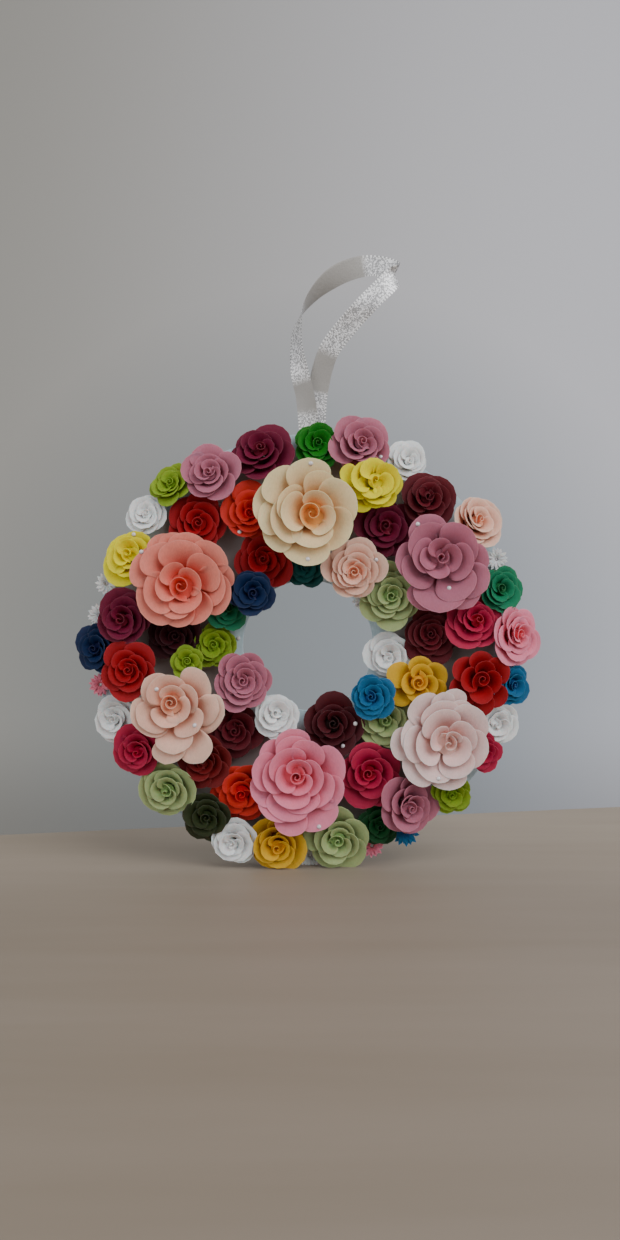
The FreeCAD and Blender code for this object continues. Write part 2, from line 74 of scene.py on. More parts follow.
BOARD_OUTER_R = 105 * MM
BOARD_HOLE_R = 32.5 * MM
BOARD_T = 3 * MM
BAND_MIDDLE_R = (BOARD_OUTER_R + BOARD_HOLE_R) / 2
PAPER_T = 0.24 * MM
CREASE = math.radians(50)   # an edge turned by more than this stays sharp
DAISY_LIFT = 0.3 * MM
CARD_FOOT = 0.8             # radius of a flower's card foot over that of its flat base
HEART_FOOT = 2.25           # how much higher the innermost petals are glued, in millimetres
PULL = 1.75                 # how firmly a petal's line is drawn to its knee
ON_EDGE = 1e-4              # how near to a sheet's edge a vertex counts as lying on it
FINER_RIM = 1.5             # how much smaller a petal's squares are towards its rim
DISC = 0.24                 # radius of the paper disc under a rolled strip, over the reach
WAVES = 6.5                 # waves of a ruffled edge, in radians over half a petal
SPILL = 1.06                # how far past its tip a petal's middle may reach
TOP_SHARE = 0.94            # height of a flower's top over that of its innermost tips
NEAR_SHARE = 0.2            # how far round its top the frame is felt for, over its reach
SUNK_SHARE = 0.10           # how much of its reach a flower on its side would sink in
# GLOW drives the painted glow: the deep heart colour near a flower's middle and low on its petals stands
# for light bounced between the petals.
GLOW = "glow"               # attribute: 0 deep in a flower, 1 at its outer rim
# CUT marks where the painted highlight of a cut edge catching the light goes.
CUT = "cut"                 # attribute: 1 on the cut edge of a petal
# SHINE sets where the ribbon is painted with glints, as if facing the light, and where it is painted
# plain grey, as in shade.
SHINE = "shine"             # attribute: how much of the ribbon's foil catches the light
FORWARD = Matrix.Rotation(math.pi / 2, 4, "X")      # turns what stands up +Z to face -Y

Pair = tuple[float, float]
Triple = tuple[float, float, float]
Colour = Triple
Socket = bpy.types.NodeSocket
BMesh, BMVert, BMEdge = bmesh.types.BMesh, bmesh.types.BMVert, bmesh.types.BMEdge
BLACK, WHITE = (0.0,) * 3, (1.0,) * 3


# ---- finishes
class Wiring:
    """One new material, with shorthand for its nodes."""

    def __init__(self, name: str) -> None:
        """Makes a plain material of that name."""
        self.material = bpy.data.materials.new(name)
        self.material.use_nodes = True
        self.tree = self.material.node_tree

    def fill(self, node: bpy.types.Node, inputs: dict[str | int, object]) -> None:
        """Joins a node's inputs to other sockets, or sets them to fixed values."""
        for key, value in inputs.items():
            if isinstance(value, Socket):
                self.tree.links.new(value, node.inputs[key])
            else:
                node.inputs[key].default_value = value

    def surface(self, inputs: dict[str, object]) -> None:
        """Fills the inputs of the surface shader."""
        self.fill(self.tree.nodes["Principled BSDF"], inputs)

    def node(self, kind: str, inputs: dict[str | int, object], output: str | int = 0,
             **settings: object) -> Socket:
        """Adds a node.

        Args:
            kind: Blender's name of its type.
            inputs: what its inputs are joined or set to.
            output: the output that is wanted.
            settings: its properties.

        Returns:
            The output's socket.
        """
        node = self.tree.nodes.new(kind)
        for key, value in settings.items():
            setattr(node, key, value)
        self.fill(node, inputs)
        return node.outputs[output]

    def attribute(self, name: str) -> Socket:
        """Value of one of the mesh's own attributes."""
        return self.node("ShaderNodeAttribute", {}, "Fac", attribute_name=name)

    def place(self) -> Socket:
        """Place on the object."""
        return self.node("ShaderNodeTexCoord", {}, "Object")

    def axis(self, name: str, place: Socket | None = None) -> Socket:
        """One coordinate of a place, or of the place on the object."""
        return self.node("ShaderNodeSeparateXYZ", {"Vector": place or self.place()}, name)

    def noise(self, scale: float, detail: float, stretch: Triple = (1, 1, 1)) -> Socket:
        """Noise fixed to the object.

        Args:
            scale: lumps per metre.
            detail: how many finer layers it has.
            stretch: scale of the pattern along X, Y and Z.

        Returns:
            The noise's value.
        """
        mapped = self.node("ShaderNodeMapping", {"Vector": self.place(), "Scale": stretch})
        inputs = {"Vector": mapped, "Scale": scale, "Detail": detail}
        return self.node("ShaderNodeTexNoise", inputs, "Fac")

    def ramp(self, value: Socket, *stops: tuple[float, Colour]) -> Socket:
        """Colours by a value.

        Args:
            value: what is coloured, from 0 to 1.
            stops: values and their colours, in order.

        Returns:
            The colour.
        """
        colour = self.node("ShaderNodeValToRGB", {"Fac": value}, "Color")
        elements = colour.node.color_ramp.elements
        while len(elements) < len(stops):
            elements.new(0.5)
        for element, (position, tone) in zip(elements, stops):
            element.position = position
            element.color = (*tone, 1.0)
        return colour

    def fade(self, along: str, span: Pair, first: Colour, last: Colour) -> Socket:
        """Fades from one colour to another.

        Args:
            along: axis of the object that it follows.
            span: where on that axis it begins and ends.
            first: the colour where it begins.
            last: the colour where it ends.

        Returns:
            The colour.
        """
        inputs = {"Value": self.axis(along), "From Min": span[0], "From Max": span[1]}
        share = self.node("ShaderNodeMapRange", inputs, "Result", interpolation_type="SMOOTHSTEP")
        return self.ramp(share, (0, first), (1, last))

    def mix(self, share: Socket | float, first: Socket, second: object,
            kind: str = "MIX") -> Socket:
        """Two colours mixed.

        Args:
            share: how far the second colour counts.
            first: the colour underneath.
            second: the colour on top.
            kind: Blender's name of the way of mixing.

        Returns:
            The mixed colour.
        """
        return self.node("ShaderNodeMix", {"Factor": share, "A": first, "B": second}, "Result",
                         data_type="RGBA", blend_type=kind)

    def sums(self, operation: str, *values: Socket | float) -> Socket:
        """The result of a sum on values."""
        return self.node("ShaderNodeMath", dict(enumerate(values)), operation=operation)

    def bump(self, height: Socket, strength: float, distance: float) -> Socket:
        """Normal of a surface raised by a height, which reaches distance in metres."""
        inputs = {"Height": height, "Strength": strength, "Distance": distance}
        return self.node("ShaderNodeBump", inputs, "Normal")


class Finish:
    """A procedural material."""

    def paint(self, wiring: Wiring) -> None:
        """Wires the material up."""
        raise NotImplementedError

    def make(self, name: str) -> bpy.types.Material:
        """The material of that name."""
        wiring = Wiring(name)
        self.paint(wiring)
        return wiring.material


@dataclass(frozen=True)
class PaperPaint(Finish):
    """Dyed craft paper, deeper in colour in a flower's heart from a painted glow of bounced light, and
    paler along its cut edges from a painted highlight.

    Attributes:
        heart: colour deep in the flower, the dye with a painted glow of light bounced between the
            petals.
        petal: colour of the open petals.
        rim: colour of a cut edge, a painted highlight of the edge catching the light.
        deep: how far out the heart's colour holds.
        spread: how far out it has given way to the petals' colour.
        tip: how much of the rim's painted highlight colour shows at a petal's tip.
        edge: how much of the rim's painted highlight colour shows on a cut edge.
        cloud: depth of the cloudy tone in the paper.
        grain: depth of its fibres.
        thin: how much light goes through the sheet.
        glow_depth: how deep light goes into it.
    """

    heart: Colour
    petal: Colour
    rim: Colour
    deep: float = 0.12
    spread: float = 0.62
    tip: float = 0.45
    edge: float = 0.9
    cloud: float = 0.14
    grain: float = 0.10
    thin: float = 0.35
    glow_depth: float = 1.2 * MM

    def paint(self, wiring: Wiring) -> None:
        """Wires the material up."""
        glow, cut = wiring.attribute(GLOW), wiring.attribute(CUT)
        both = list(zip(self.petal, self.rim))
        tip = tuple((1 - self.tip) * petal + self.tip * rim for petal, rim in both)
        # painted glow: the heart's colour deep in the flower and low on each petal stands for light
        # bounced between the petals; the tip mixes in the painted highlight colour
        dye_and_painted_glow = wiring.ramp(glow, (self.deep, self.heart), (self.spread, self.petal), (1, tip))
        # painted highlight: the cut edges are lightened as if they caught the light
        painted_edge_highlight = wiring.ramp(cut, (0, BLACK), (1, tuple(self.edge * (rim - petal) for petal, rim in both)))
        clouds = wiring.ramp(wiring.noise(90, 3), (0.3, (1 - self.cloud,) * 3), (0.7, WHITE))
        fibres = wiring.noise(1500, 4, (1, 1, 0.45))
        tone = wiring.ramp(fibres, (0.3, (1 - self.grain,) * 3), (0.7, WHITE))
        colour = wiring.mix(1, dye_and_painted_glow, painted_edge_highlight, "ADD")
        for layer in (clouds, tone):
            colour = wiring.mix(1, colour, layer, "MULTIPLY")
        wiring.surface({
            "Base Color": colour, "Roughness": 0.72, "Specular IOR Level": 0.15,
            "Subsurface Weight": self.thin, "Subsurface Radius": (1.0, 0.5, 0.4),
            "Subsurface Scale": self.glow_depth, "Normal": wiring.bump(fibres, 0.25, 0.1 * MM)})


@dataclass(frozen=True)
class BoardPaint(Finish):
    """Pale blue craft board with a faint felt surface, with painted shade on its front under the
    flowers.

    Attributes:
        colour: its own colour.
        shade: the darker tone between its fibres.
        painted_shade: dark colour of the painted shade under the flowers.
        inner: where the painted shade begins, over the board's radius.
        outer: where the painted shade ends.
    """

    colour: Colour = (0.60, 0.74, 0.80)
    shade: Colour = (0.50, 0.65, 0.72)
    # dark colour of the painted shade under the flowers
    painted_shade: Colour = (0.33, 0.30, 0.29)
    inner: Pair = (0.34, 0.42)
    outer: Pair = (0.86, 0.94)

    def paint(self, wiring: Wiring) -> None:
        """Wires the material up."""
        fibres = wiring.noise(900, 5, (1, 1, 0.5))
        unshaded_board = wiring.ramp(fibres, (0.3, self.shade), (0.65, self.colour))
        flat = wiring.node("ShaderNodeVectorMath", {0: wiring.place(), 1: (1, 0, 1)},
                           operation="MULTIPLY")
        far = wiring.node("ShaderNodeVectorMath", {0: flat}, "Value", operation="LENGTH")
        band = wiring.ramp(wiring.sums("MULTIPLY", far, 1 / BOARD_OUTER_R), *zip(
            self.inner + self.outer, (BLACK, WHITE, WHITE, BLACK)))
        front = wiring.ramp(wiring.sums("MULTIPLY", wiring.axis("Y"), -1 / BOARD_T),
                            (0.90, BLACK), (0.98, WHITE))
        # painted shade: the board's front darkens across the band where the flowers stand and shade it
        under = wiring.mix(1, band, front, "MULTIPLY")
        wiring.surface({"Base Color": wiring.mix(under, unshaded_board, (*self.painted_shade, 1)),
                        "Roughness": 0.85, "Normal": wiring.bump(fibres, 0.3, 0.12 * MM)})


@dataclass(frozen=True)
class PearlPaint(Finish):
    """Glossy pearl white of the half pearls."""

    colour: Colour = (0.80, 0.77, 0.78)
    shade: Colour = (0.62, 0.58, 0.62)

    def paint(self, wiring: Wiring) -> None:
        """Wires the material up."""
        colour = wiring.ramp(wiring.noise(500, 2), (0.35, self.shade), (0.65, self.colour))
        wiring.surface({"Base Color": colour, "Roughness": 0.12, "Specular IOR Level": 0.9,
                        "Coat Weight": 1.0, "Coat Roughness": 0.05})


@dataclass(frozen=True)
class LamePaint(Finish):
    """Silver ribbon: painted glints of foil threads where the ribbon faces the light, and a plain grey
    weave painted where it is in shade.

    Attributes:
        glint: painted highlight colour of a thread that catches the light.
        foil: colour of the other threads.
        weave: colour of the ribbon where nothing glitters, painted for the parts in shade.
        fleck: size of a glittering fleck.
        hem: distance from the middle line to the beaded hem.
        bead: length of one bead of the hem.
        metal: how metallic the glittering parts are.
    """

    glint: Colour = (0.98, 0.98, 1.0)
    foil: Colour = (0.42, 0.42, 0.43)
    weave: Colour = (0.43, 0.415, 0.395)
    fleck: float = 0.55 * MM
    hem: float = 4.2 * MM
    bead: float = 1.6 * MM
    metal: float = 0.45

    def paint(self, wiring: Wiring) -> None:
        """Wires the material up, on the ribbon's own UV map in metres."""
        place = wiring.node("ShaderNodeUVMap", {}, "UV", uv_map="along")
        inputs = {"Vector": place, "Scale": 1 / self.fleck}
        flecks = wiring.node("ShaderNodeTexVoronoi", inputs, "Color")
        lit = wiring.ramp(flecks, (0.40, self.foil), (0.58, self.glint))
        side = wiring.sums("ABSOLUTE", wiring.axis("X", place))
        hem = wiring.sums("GREATER_THAN", side, self.hem)
        beads = wiring.sums("SINE", wiring.sums("MULTIPLY", wiring.axis("Y", place),
                                                2 * math.pi / self.bead))
        # painted highlight: the beads of the hem shine white
        edged = wiring.mix(hem, lit, wiring.ramp(beads, (0, self.foil), (0.20, WHITE)))
        # painted glint and shade: the stations' shine picks the glittering foil, as lit, or the plain
        # weave, as in shade
        shine = wiring.attribute(SHINE)
        shade = tuple(0.9 * c for c in self.weave)
        plain = wiring.ramp(wiring.noise(2500, 3), (0.3, shade), (0.7, self.weave))
        wiring.surface({
            "Base Color": wiring.mix(shine, plain, edged), "Roughness": 0.42,
            "Metallic": wiring.sums("MULTIPLY", shine, self.metal),
            "Normal": wiring.bump(flecks, 0.6, 0.2 * MM)})


# Colours of each paper, in thousandths: in a flower's heart, with a painted glow of bounced light, on
# its petals, and at their rims, a painted highlight.
DYES_WITH_PAINTED_LIGHT = {
    "blush": ((930, 580, 520), (930, 605, 580), (930, 780, 750)),
    "brown": ((14, 2, 2), (71, 6, 11), (104, 34, 40)),
    "cerulean": ((3, 60, 220), (10, 130, 290), (40, 200, 370)),
    "cream": ((930, 405, 117), (930, 646, 364), (930, 793, 468)),
    "crimson": ((380, 3, 22), (440, 10, 58), (540, 50, 110)),
    "dark_plum": ((40, 3, 7), (39, 3, 7), (70, 30, 35)),
    "dark_red": ((162, 5, 6), (159, 5, 6), (200, 33, 34)),
    "emerald": ((6, 136, 38), (9, 211, 98), (37, 256, 133)),
    "golden": ((739, 346, 19), (725, 415, 22), (812, 477, 51)),
    "green": ((6, 175, 4), (6, 172, 4), (34, 213, 32)),
    "lime": ((200, 352, 19), (221, 345, 18), (267, 401, 47)),
    "maroon": ((112, 4, 13), (110, 6, 13), (147, 34, 42)),
    "mauve": ((456, 147, 212), (447, 144, 209), (564, 216, 290)),
    "navy": ((2, 7, 58), (2, 17, 71), (29, 46, 105)),
    "olive": ((17, 29, 6), (23, 33, 9), (52, 63, 38)),
    "orange": ((674, 5, 12), (661, 30, 20), (743, 60, 49)),
    "peach": ((930, 420, 270), (930, 500, 380), (930, 640, 520)),
    "pine": ((2, 60, 13), (2, 59, 13), (29, 91, 41)),
    "pink": ((930, 147, 205), (921, 240, 346), (930, 326, 447)),
    "plum": ((149, 3, 18), (146, 4, 31), (186, 32, 61)),
    "raspberry": ((439, 2, 37), (431, 13, 59), (494, 42, 91)),
    "red": ((352, 3, 8), (346, 3, 8), (402, 30, 36)),
    "sage": ((263, 417, 139), (344, 427, 184), (446, 541, 262)),
    "salmon": ((900, 119, 85), (883, 249, 189), (930, 336, 267)),
    "teal": ((2, 81, 77), (2, 80, 75), (29, 114, 109)),
    "white": ((930, 920, 915), (930, 905, 900), (930, 930, 930)),
    "yellow": ((930, 772, 7), (930, 757, 17), (930, 847, 46)),
}
FINISHES: dict[str, Finish] = {
    "board": BoardPaint(), "pearl": PearlPaint(), "ribbon": LamePaint(),
    **{f"paper_{name}": PaperPaint(*(tuple(part / 1000 for part in tone) for tone in tones))
       for name, tones in DYES_WITH_PAINTED_LIGHT.items()}}


class PaintBox:
    """Makes each finish once, and knows which slot each node of the frame takes."""

    def __init__(self, record: dict) -> None:
        """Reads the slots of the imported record."""
        self.slots = {part["node"]: part["material_slot"] for part in record["subparts"]}
        self.made: dict[str, bpy.types.Material] = {}

    def dress(self, piece: bpy.types.Object, node: str) -> None:
        """Gives a piece the finish of a node.

        Args:
            piece: the object to paint.
            node: the node of the frame that it is, or stands for.
        """
        slot = self.slots[node]
        if slot not in self.made:
            self.made[slot] = FINISHES[slot].make(slot)
        piece.data.materials.clear()
        piece.data.materials.append(self.made[slot])


# ---- petals
class Row(Enum):
    """Which edge a flower's distance is measured from."""

    OUTER = "from the rim inwards"
    INNER = "from the hole outwards"
    MIDDLE = "from the middle of the band outwards"

    @property
    def overboard(self) -> float:
        """Clock turn from straight outwards to the way over this edge."""
        return 180.0 if self is Row.INNER else 0.0

    def radius(self, distance: float) -> float:
        """Distance from the wreath's centre, in metres."""
        if self is Row.OUTER:
            return BOARD_OUTER_R - distance
        if self is Row.INNER:
            return BOARD_HOLE_R + distance
        return BAND_MIDDLE_R + distance


@dataclass(frozen=True)
class FlowerForm:
    """One kind of flower, in millimetres.

    Attributes:
        radius: reach of the outermost ring.
        rim: height of the outermost ring's tips.
        crown: height of the innermost ring's tips.
        petals: number of petals in each ring, from the outside in.
        shrink: how much less the innermost ring reaches.
        base: radius of the flat base over the reach.
        notch: how deep two petals of a ring are cut apart.
        overlap: width of a petal over its share of the ring.
        curl: how far a petal's rim is rolled back, over the flower's reach.
        curl_from: where on a petal the roll of its rim starts.
        cup: how much a petal is hollowed like a spoon.
        lap: how far one side of a petal lies over its neighbour.
        point: how far a petal's middle stands out of its round edge.
        ruffle: height of the waves along a petal's edge.
        unevenness: how much petals of a ring differ in reach and height.
        gather: above 1, the outer rings lie closer together than the inner ones.
        round_off: 2 gives a petal a round edge, less a pointed one.
        drift: how far the heart sits off the middle.
        turns: turns of the rolled strip in the middle, or 0 for none.
        roll: radius of the rolled strip over the reach.
        grid: squares of a petal across and along.
        heart: where the heart sits, to the right of and above the middle.
        laid: petals laid one by one in place of the rings, each as the clock direction of its
            middle, its reach whatever the flower's size, half its width in degrees and its
            level from 0 for the lowest to 100 at the heart.
    """

    radius: float
    rim: float
    crown: float
    petals: tuple[int, ...]
    shrink: float = 0.86
    base: float = 0.30
    notch: float = 0.50
    overlap: float = 1.30
    curl: float = 0.085
    curl_from: float = 0.60
    cup: float = 0.050
    lap: float = 0.060
    point: float = 0.05
    ruffle: float = 0.006
    unevenness: float = 0.06
    gather: float = 1.15
    round_off: float = 2.4
    drift: float = 0.07
    turns: float = 3.1
    roll: float = 0.22
    grid: tuple[int, int] = (12, 11)
    heart: Pair = (0.0, 0.0)
    laid: tuple[tuple[float, float, float, float], ...] = ()

    @property
    def floor(self) -> float:
        """Height of the rolled strip's lower edge."""
        return 0.68 * self.crown

    def reach(self, inward: float) -> float:
        """Reach of the ring that lies this share of the way in."""
        return self.radius * (1 - self.shrink * inward ** self.gather)

    def section(self, inward: float, reach: float) -> tuple[Pair, ...]:
        """Side view of a petal.

        Args:
            inward: how far in and up it is stuck on, from 0 to 1.
            reach: how far out it reaches.

        Returns:
            Its foot, knee and tip, each as (radius, height).
        """
        foot_r = min(self.radius * self.base * (1 - 0.8 * inward), 0.6 * reach)
        foot_z = HEART_FOOT * inward
        tip_z = self.rim + (self.crown - self.rim) * inward ** 0.7
        knee_r = foot_r + (reach - foot_r) * (0.42 - 0.10 * inward)
        knee_z = foot_z + (tip_z - foot_z) * (0.72 - 0.06 * inward)
        return (foot_r, foot_z), (knee_r, knee_z), (reach, tip_z)


@dataclass
class Petal:
    """One petal, standing on the flower's axis, in millimetres.

    Attributes:
        form: the flower that it belongs to.
        section: foot, knee and tip of the ring.
        middle: angle of its middle line.
        half_width: half of the angle that it spans.
        quirk: small differences of this petal from its ring, each from -1 to 1.
        aside: way from the flower's middle to the point that the petal's foot is round.
        lean: way from there to the point that its tip is round.
    """

    form: FlowerForm
    section: tuple[Pair, ...]
    middle: float
    half_width: float
    quirk: tuple[float, ...]
    aside: Vector
    lean: Vector

    def side_view(self, share: float) -> tuple[float, float, float, float]:
        """Point and inward normal of the petal's middle line.

        Args:
            share: way from foot to tip.

        Returns:
            Radius and height of the point, then of the normal.
        """
        (r0, z0), (r1, z1), (r2, z2) = self.section
        r2 *= 1 + self.form.unevenness * self.quirk[0]
        z2 += 0.9 * self.form.unevenness * self.form.radius * self.quirk[1]
        pull_r = PULL * r1 - (PULL - 1) / 2 * (r0 + r2)
        pull_z = PULL * z1 - (PULL - 1) / 2 * (z0 + z2)
        rest = 1 - share
        r = rest * rest * r0 + 2 * rest * share * pull_r + share * share * r2
        z = rest * rest * z0 + 2 * rest * share * pull_z + share * share * z2
        run_r = rest * (pull_r - r0) + share * (r2 - pull_r)
        run_z = rest * (pull_z - z0) + share * (z2 - pull_z)
        length = math.hypot(run_r, run_z) or 1.0
        return r, z, -run_z / length, run_r / length

    def bend(self, across: float, along: float) -> tuple[Vector, float]:
        """Where a point of the flat paper goes.

        Args:
            across: from -1 at one side to 1 at the other.
            along: from 0 at the foot to 1 at the outer edge.

        Returns:
            The point, and how much it glows.
        """
        form = self.form
        side = math.sin(across * math.pi / 2)
        wide = abs(side)
        edge = math.sqrt(max(1 - wide ** form.round_off, 0))
        outline = 1 - form.notch * (1 - edge) + form.point * (1 - wide) ** 2 * along
        share = min(along * outline, SPILL)
        r, z, out_r, out_z = self.side_view(share)
        rim = max((along - form.curl_from) / (1 - form.curl_from), 0.0)
        hollow = form.cup * (side * side - 0.3) * math.sin(math.pi * min(share, 1) * 0.9)
        rolled = form.curl * (1 + 0.4 * self.quirk[2]) * rim * rim * (0.45 + 0.85 * wide ** 1.5)
        lifted = form.lap * side * min(2 * share, 1.0)
        waves = form.ruffle * math.sin(WAVES * side + 3 * self.quirk[3]) * along ** 3
        moved = (hollow - rolled + lifted + waves) * form.radius
        r += moved * out_r
        z += moved * out_z
        angle = self.middle + side * self.half_width
        # painted glow: deepest near the flower's middle and low on the petal
        glow = min(0.55 * r / form.radius + 0.5 * along ** 1.5, 1.0)
        spot = Vector((r * math.cos(angle), r * math.sin(angle), z))
        return spot + self.aside + self.lean * share, glow


@dataclass
class RolledStrip:
    """The strip rolled up in a rose's heart, in millimetres.

    Attributes:
        form: the flower that it belongs to.
        start: angle of its inner end.
        aside: way from the flower's middle to its own.
        steps_a_turn: squares in one turn.
        core: radius of its innermost turn over the flower's reach.
        tail: share of its length where the outer end begins to come loose.
        end_drop: how much lower the outer end is, over its height.
    """

    form: FlowerForm
    start: float
    aside: Vector
    steps_a_turn: int = 22
    core: float = 0.025
    tail: float = 0.80
    end_drop: float = 0.18

    def bend(self, across: float, along: float) -> tuple[Vector, float]:
        """Where a point of the flat strip goes.

        Args:
            across: from -1 at the inner end to 1 at the outer end.
            along: from 0 at the bottom edge to 1 at the top edge.

        Returns:
            The point, and how much it glows.
        """
        form = self.form
        way = (across + 1) / 2
        inner_r = self.core * form.radius
        outer_r = form.roll * form.radius
        angle = self.start + way * form.turns * 2 * math.pi
        floor = form.floor
        crest = form.crown * (0.96 - 0.06 * way + 0.04 * math.sin(angle * 0.9))
        fall = max((way - self.tail) / (1 - self.tail), 0.0)
        top = crest - self.end_drop * form.crown * fall ** 2
        r = inner_r + (outer_r - inner_r) * (way ** 0.9 + 0.35 * fall ** 2)
        r *= 0.74 + 0.26 * along + 0.18 * way * along ** 3
        # painted glow: deepest low on the rolled strip
        glow = 0.04 + 0.34 * along ** 2 * (0.3 + 0.7 * way)
        z = floor + (top - floor) * along
        return Vector((r * math.cos(angle), r * math.sin(angle), z)) + self.aside, glow


LARGE = FlowerForm(24.5, 13.0, 20.0, (), base=0.28, notch=0.36, overlap=1.2, curl=0.012,
                   curl_from=0.66, cup=0.055, lap=0.05, point=0.03, ruffle=0.005, unevenness=0.02,
                   round_off=3.0, turns=2.2, grid=(16, 14))
CREAM = replace(LARGE, roll=0.25, turns=1.5, heart=(2.9, -2.4), laid=(
    (285, 28.4, 24, 0), (313, 27.4, 25, 8), (356, 25.4, 28, 16), (263, 24.9, 22, 12),
    (238, 24.7, 24, 5), (188, 24.1, 33, 14), (124, 20.0, 38, 20), (16, 20.2, 26, 42),
    (66, 21.7, 38, 36), (296, 17.0, 38, 46), (250, 19.6, 40, 40), (272, 14.4, 52, 70),
    (175, 15.8, 46, 62), (30, 10.5, 60, 80), (120, 11.5, 50, 78)))
SALMON = replace(LARGE, roll=0.2, turns=1.7, heart=(-0.6, -3.8), laid=(
    (332, 26.8, 17, 0), (297, 26.6, 27, 2), (347, 25.4, 17, 6), (77, 25.4, 15, 0),
    (7, 25.2, 24, 14), (45, 25.2, 26, 20), (104, 23.6, 28, 10), (146, 19.2, 28, 14),
    (186, 18.7, 28, 18), (238, 22.8, 38, 10), (318, 23.0, 28, 30), (358, 21.5, 35, 44),
    (90, 20.6, 32, 34), (59, 19.3, 37, 54), (250, 17.5, 42, 42), (195, 15.5, 34, 46),
    (158, 13.0, 50, 68), (262, 11.7, 46, 78), (322, 11.4, 42, 82), (60, 9.5, 60, 86)))
MAUVE_WIDE = replace(LARGE, roll=0.15, turns=1.4, heart=(-2.3, 2.6), point=0.05, curl=0.03, laid=(
    (202, 25.2, 23, 0), (265, 20.3, 30, 5), (14, 16.8, 24, 6), (334, 21.3, 30, 14),
    (146, 26.3, 20, 10), (94, 22.4, 26, 20), (241, 19.3, 32, 22), (124, 25.0, 24, 30),
    (182, 24.3, 36, 38), (318, 17.3, 44, 40), (150, 21.4, 34, 50), (48, 18.5, 44, 52),
    (276, 13.6, 46, 64), (100, 14.5, 46, 66), (262, 10.2, 38, 88), (198, 9.6, 44, 84),
    (340, 8.4, 52, 92), (85, 8.6, 60, 90)))
BLUSH = replace(LARGE, roll=0.17, turns=1.3, heart=(3.4, -1.2), curl=0.02, laid=(
    (268, 27.0, 19, 0), (326, 26.0, 22, 8), (354, 24.3, 16, 13), (9, 25.5, 16, 4),
    (23, 21.9, 18, 10), (178, 22.3, 28, 6), (227, 24.7, 24, 12), (283, 23.0, 26, 18),
    (47, 21.6, 32, 24), (268, 21.3, 28, 30), (212, 19.5, 36, 38), (345, 20.7, 33, 34),
    (101, 18.6, 36, 42), (338, 16.5, 44, 56), (155, 16.1, 38, 58), (262, 15.4, 44, 62),
    (60, 13.5, 44, 66), (300, 9.6, 52, 84), (125, 10.4, 62, 86), (25, 6.6, 48, 100)))
PINK = replace(LARGE, roll=0.15, turns=1.9, heart=(-0.4, 2.9), laid=(
    (314, 21.3, 20, 0), (353, 22.4, 25, 6), (246, 22.5, 23, 4), (187, 28.6, 18, 2),
    (151, 28.4, 25, 8), (215, 23.4, 25, 14), (115, 24.0, 25, 14), (279, 20.6, 30, 20),
    (71, 23.3, 30, 20), (352, 18.8, 30, 30), (25, 18.1, 32, 40), (197, 21.0, 34, 30),
    (118, 19.0, 34, 40), (165, 17.5, 34, 36), (270, 16.0, 36, 44), (320, 14.2, 55, 60),
    (195, 14.8, 46, 56), (88, 12.3, 56, 70), (255, 9.5, 55, 78), (10, 8.6, 60, 84),
    (140, 8.4, 60, 86)))
PEACH = replace(LARGE, roll=0.19, turns=2.0, heart=(-3.3, 6.5), curl=0.04, point=0.06, laid=(
    (311, 15.8, 32, 8), (104, 24.2, 26, 3), (186, 28.8, 18, 3), (152, 30.4, 18, 10),
    (241, 19.8, 36, 14), (50, 20.4, 30, 24), (99, 21.6, 23, 22), (176, 22.6, 27, 32),
    (236, 17.2, 34, 40), (136, 17.7, 34, 54), (70, 12.5, 40, 60), (336, 13.0, 58, 72),
    (200, 11.5, 48, 66), (128, 9.8, 60, 84), (10, 8.0, 60, 88)))
MEDIUM = FlowerForm(15.0, 8.0, 13.0, (5, 4, 3), shrink=0.8, notch=0.38, curl=0.025,
                    curl_from=0.7, cup=0.09, lap=0.075, overlap=1.4, point=0.08, unevenness=0.1,
                    gather=0.9, round_off=2.2, turns=1.7, roll=0.2)
MEDIUM_FINE = replace(MEDIUM, petals=(6, 5, 4, 3), curl=0.02, lap=0.06, round_off=2.5)
BUD = replace(MEDIUM, radius=14.3, rim=9.0, crown=14.5, petals=(4, 4, 3), shrink=0.74, cup=0.12,
              notch=0.34, overlap=1.55, turns=1.4, drift=0.12)
OPEN = replace(MEDIUM, petals=(6, 4), shrink=0.7, overlap=1.22, notch=0.42, cup=0.12, turns=2.0,
               roll=0.27)
SMALL = FlowerForm(11.0, 6.0, 9.5, (5, 4, 3), shrink=0.74, curl=0.03, cup=0.1, overlap=1.45,
                   notch=0.42, point=0.14, round_off=2.0, unevenness=0.09, grid=(10, 9),
                   turns=1.7)
RUFFLED = FlowerForm(10.6, 5.5, 9.0, (5, 3, 3), shrink=0.74, notch=0.32, curl=0.03, cup=0.11,
                     overlap=1.6, point=0.08, ruffle=0.010, unevenness=0.1, round_off=2.4,
                     grid=(10, 9), turns=1.4, roll=0.2, drift=0.12)
CUPPED = replace(BUD, petals=(), overlap=1.15, roll=0.14, turns=1.2, heart=(2.0, 1.4), laid=(
    (215, 15.7, 26, 0), (283, 16.6, 24, 0), (98, 13.7, 32, 6), (145, 12.3, 28, 3),
    (180, 12.3, 30, 8), (250, 13.4, 36, 16), (335, 10.0, 42, 24), (40, 9.6, 42, 30),
    (165, 11.5, 42, 36), (282, 11.3, 58, 50), (85, 10.8, 66, 62), (215, 9.5, 60, 70),
    (345, 9.0, 60, 82), (120, 7.8, 62, 92)))
TINY = FlowerForm(8.5, 5.0, 7.5, (5, 4), shrink=0.66, grid=(10, 9), turns=2.2, roll=0.26)
DAISY = FlowerForm(5.6, 1.6, 2.4, (14, 14), shrink=0.4, base=0.3, notch=0.85, overlap=0.98,
                   curl=0.0, cup=0.05, lap=0.0, point=0.25, ruffle=0.0, unevenness=0.03, drift=0,
                   turns=0, grid=(4, 5))


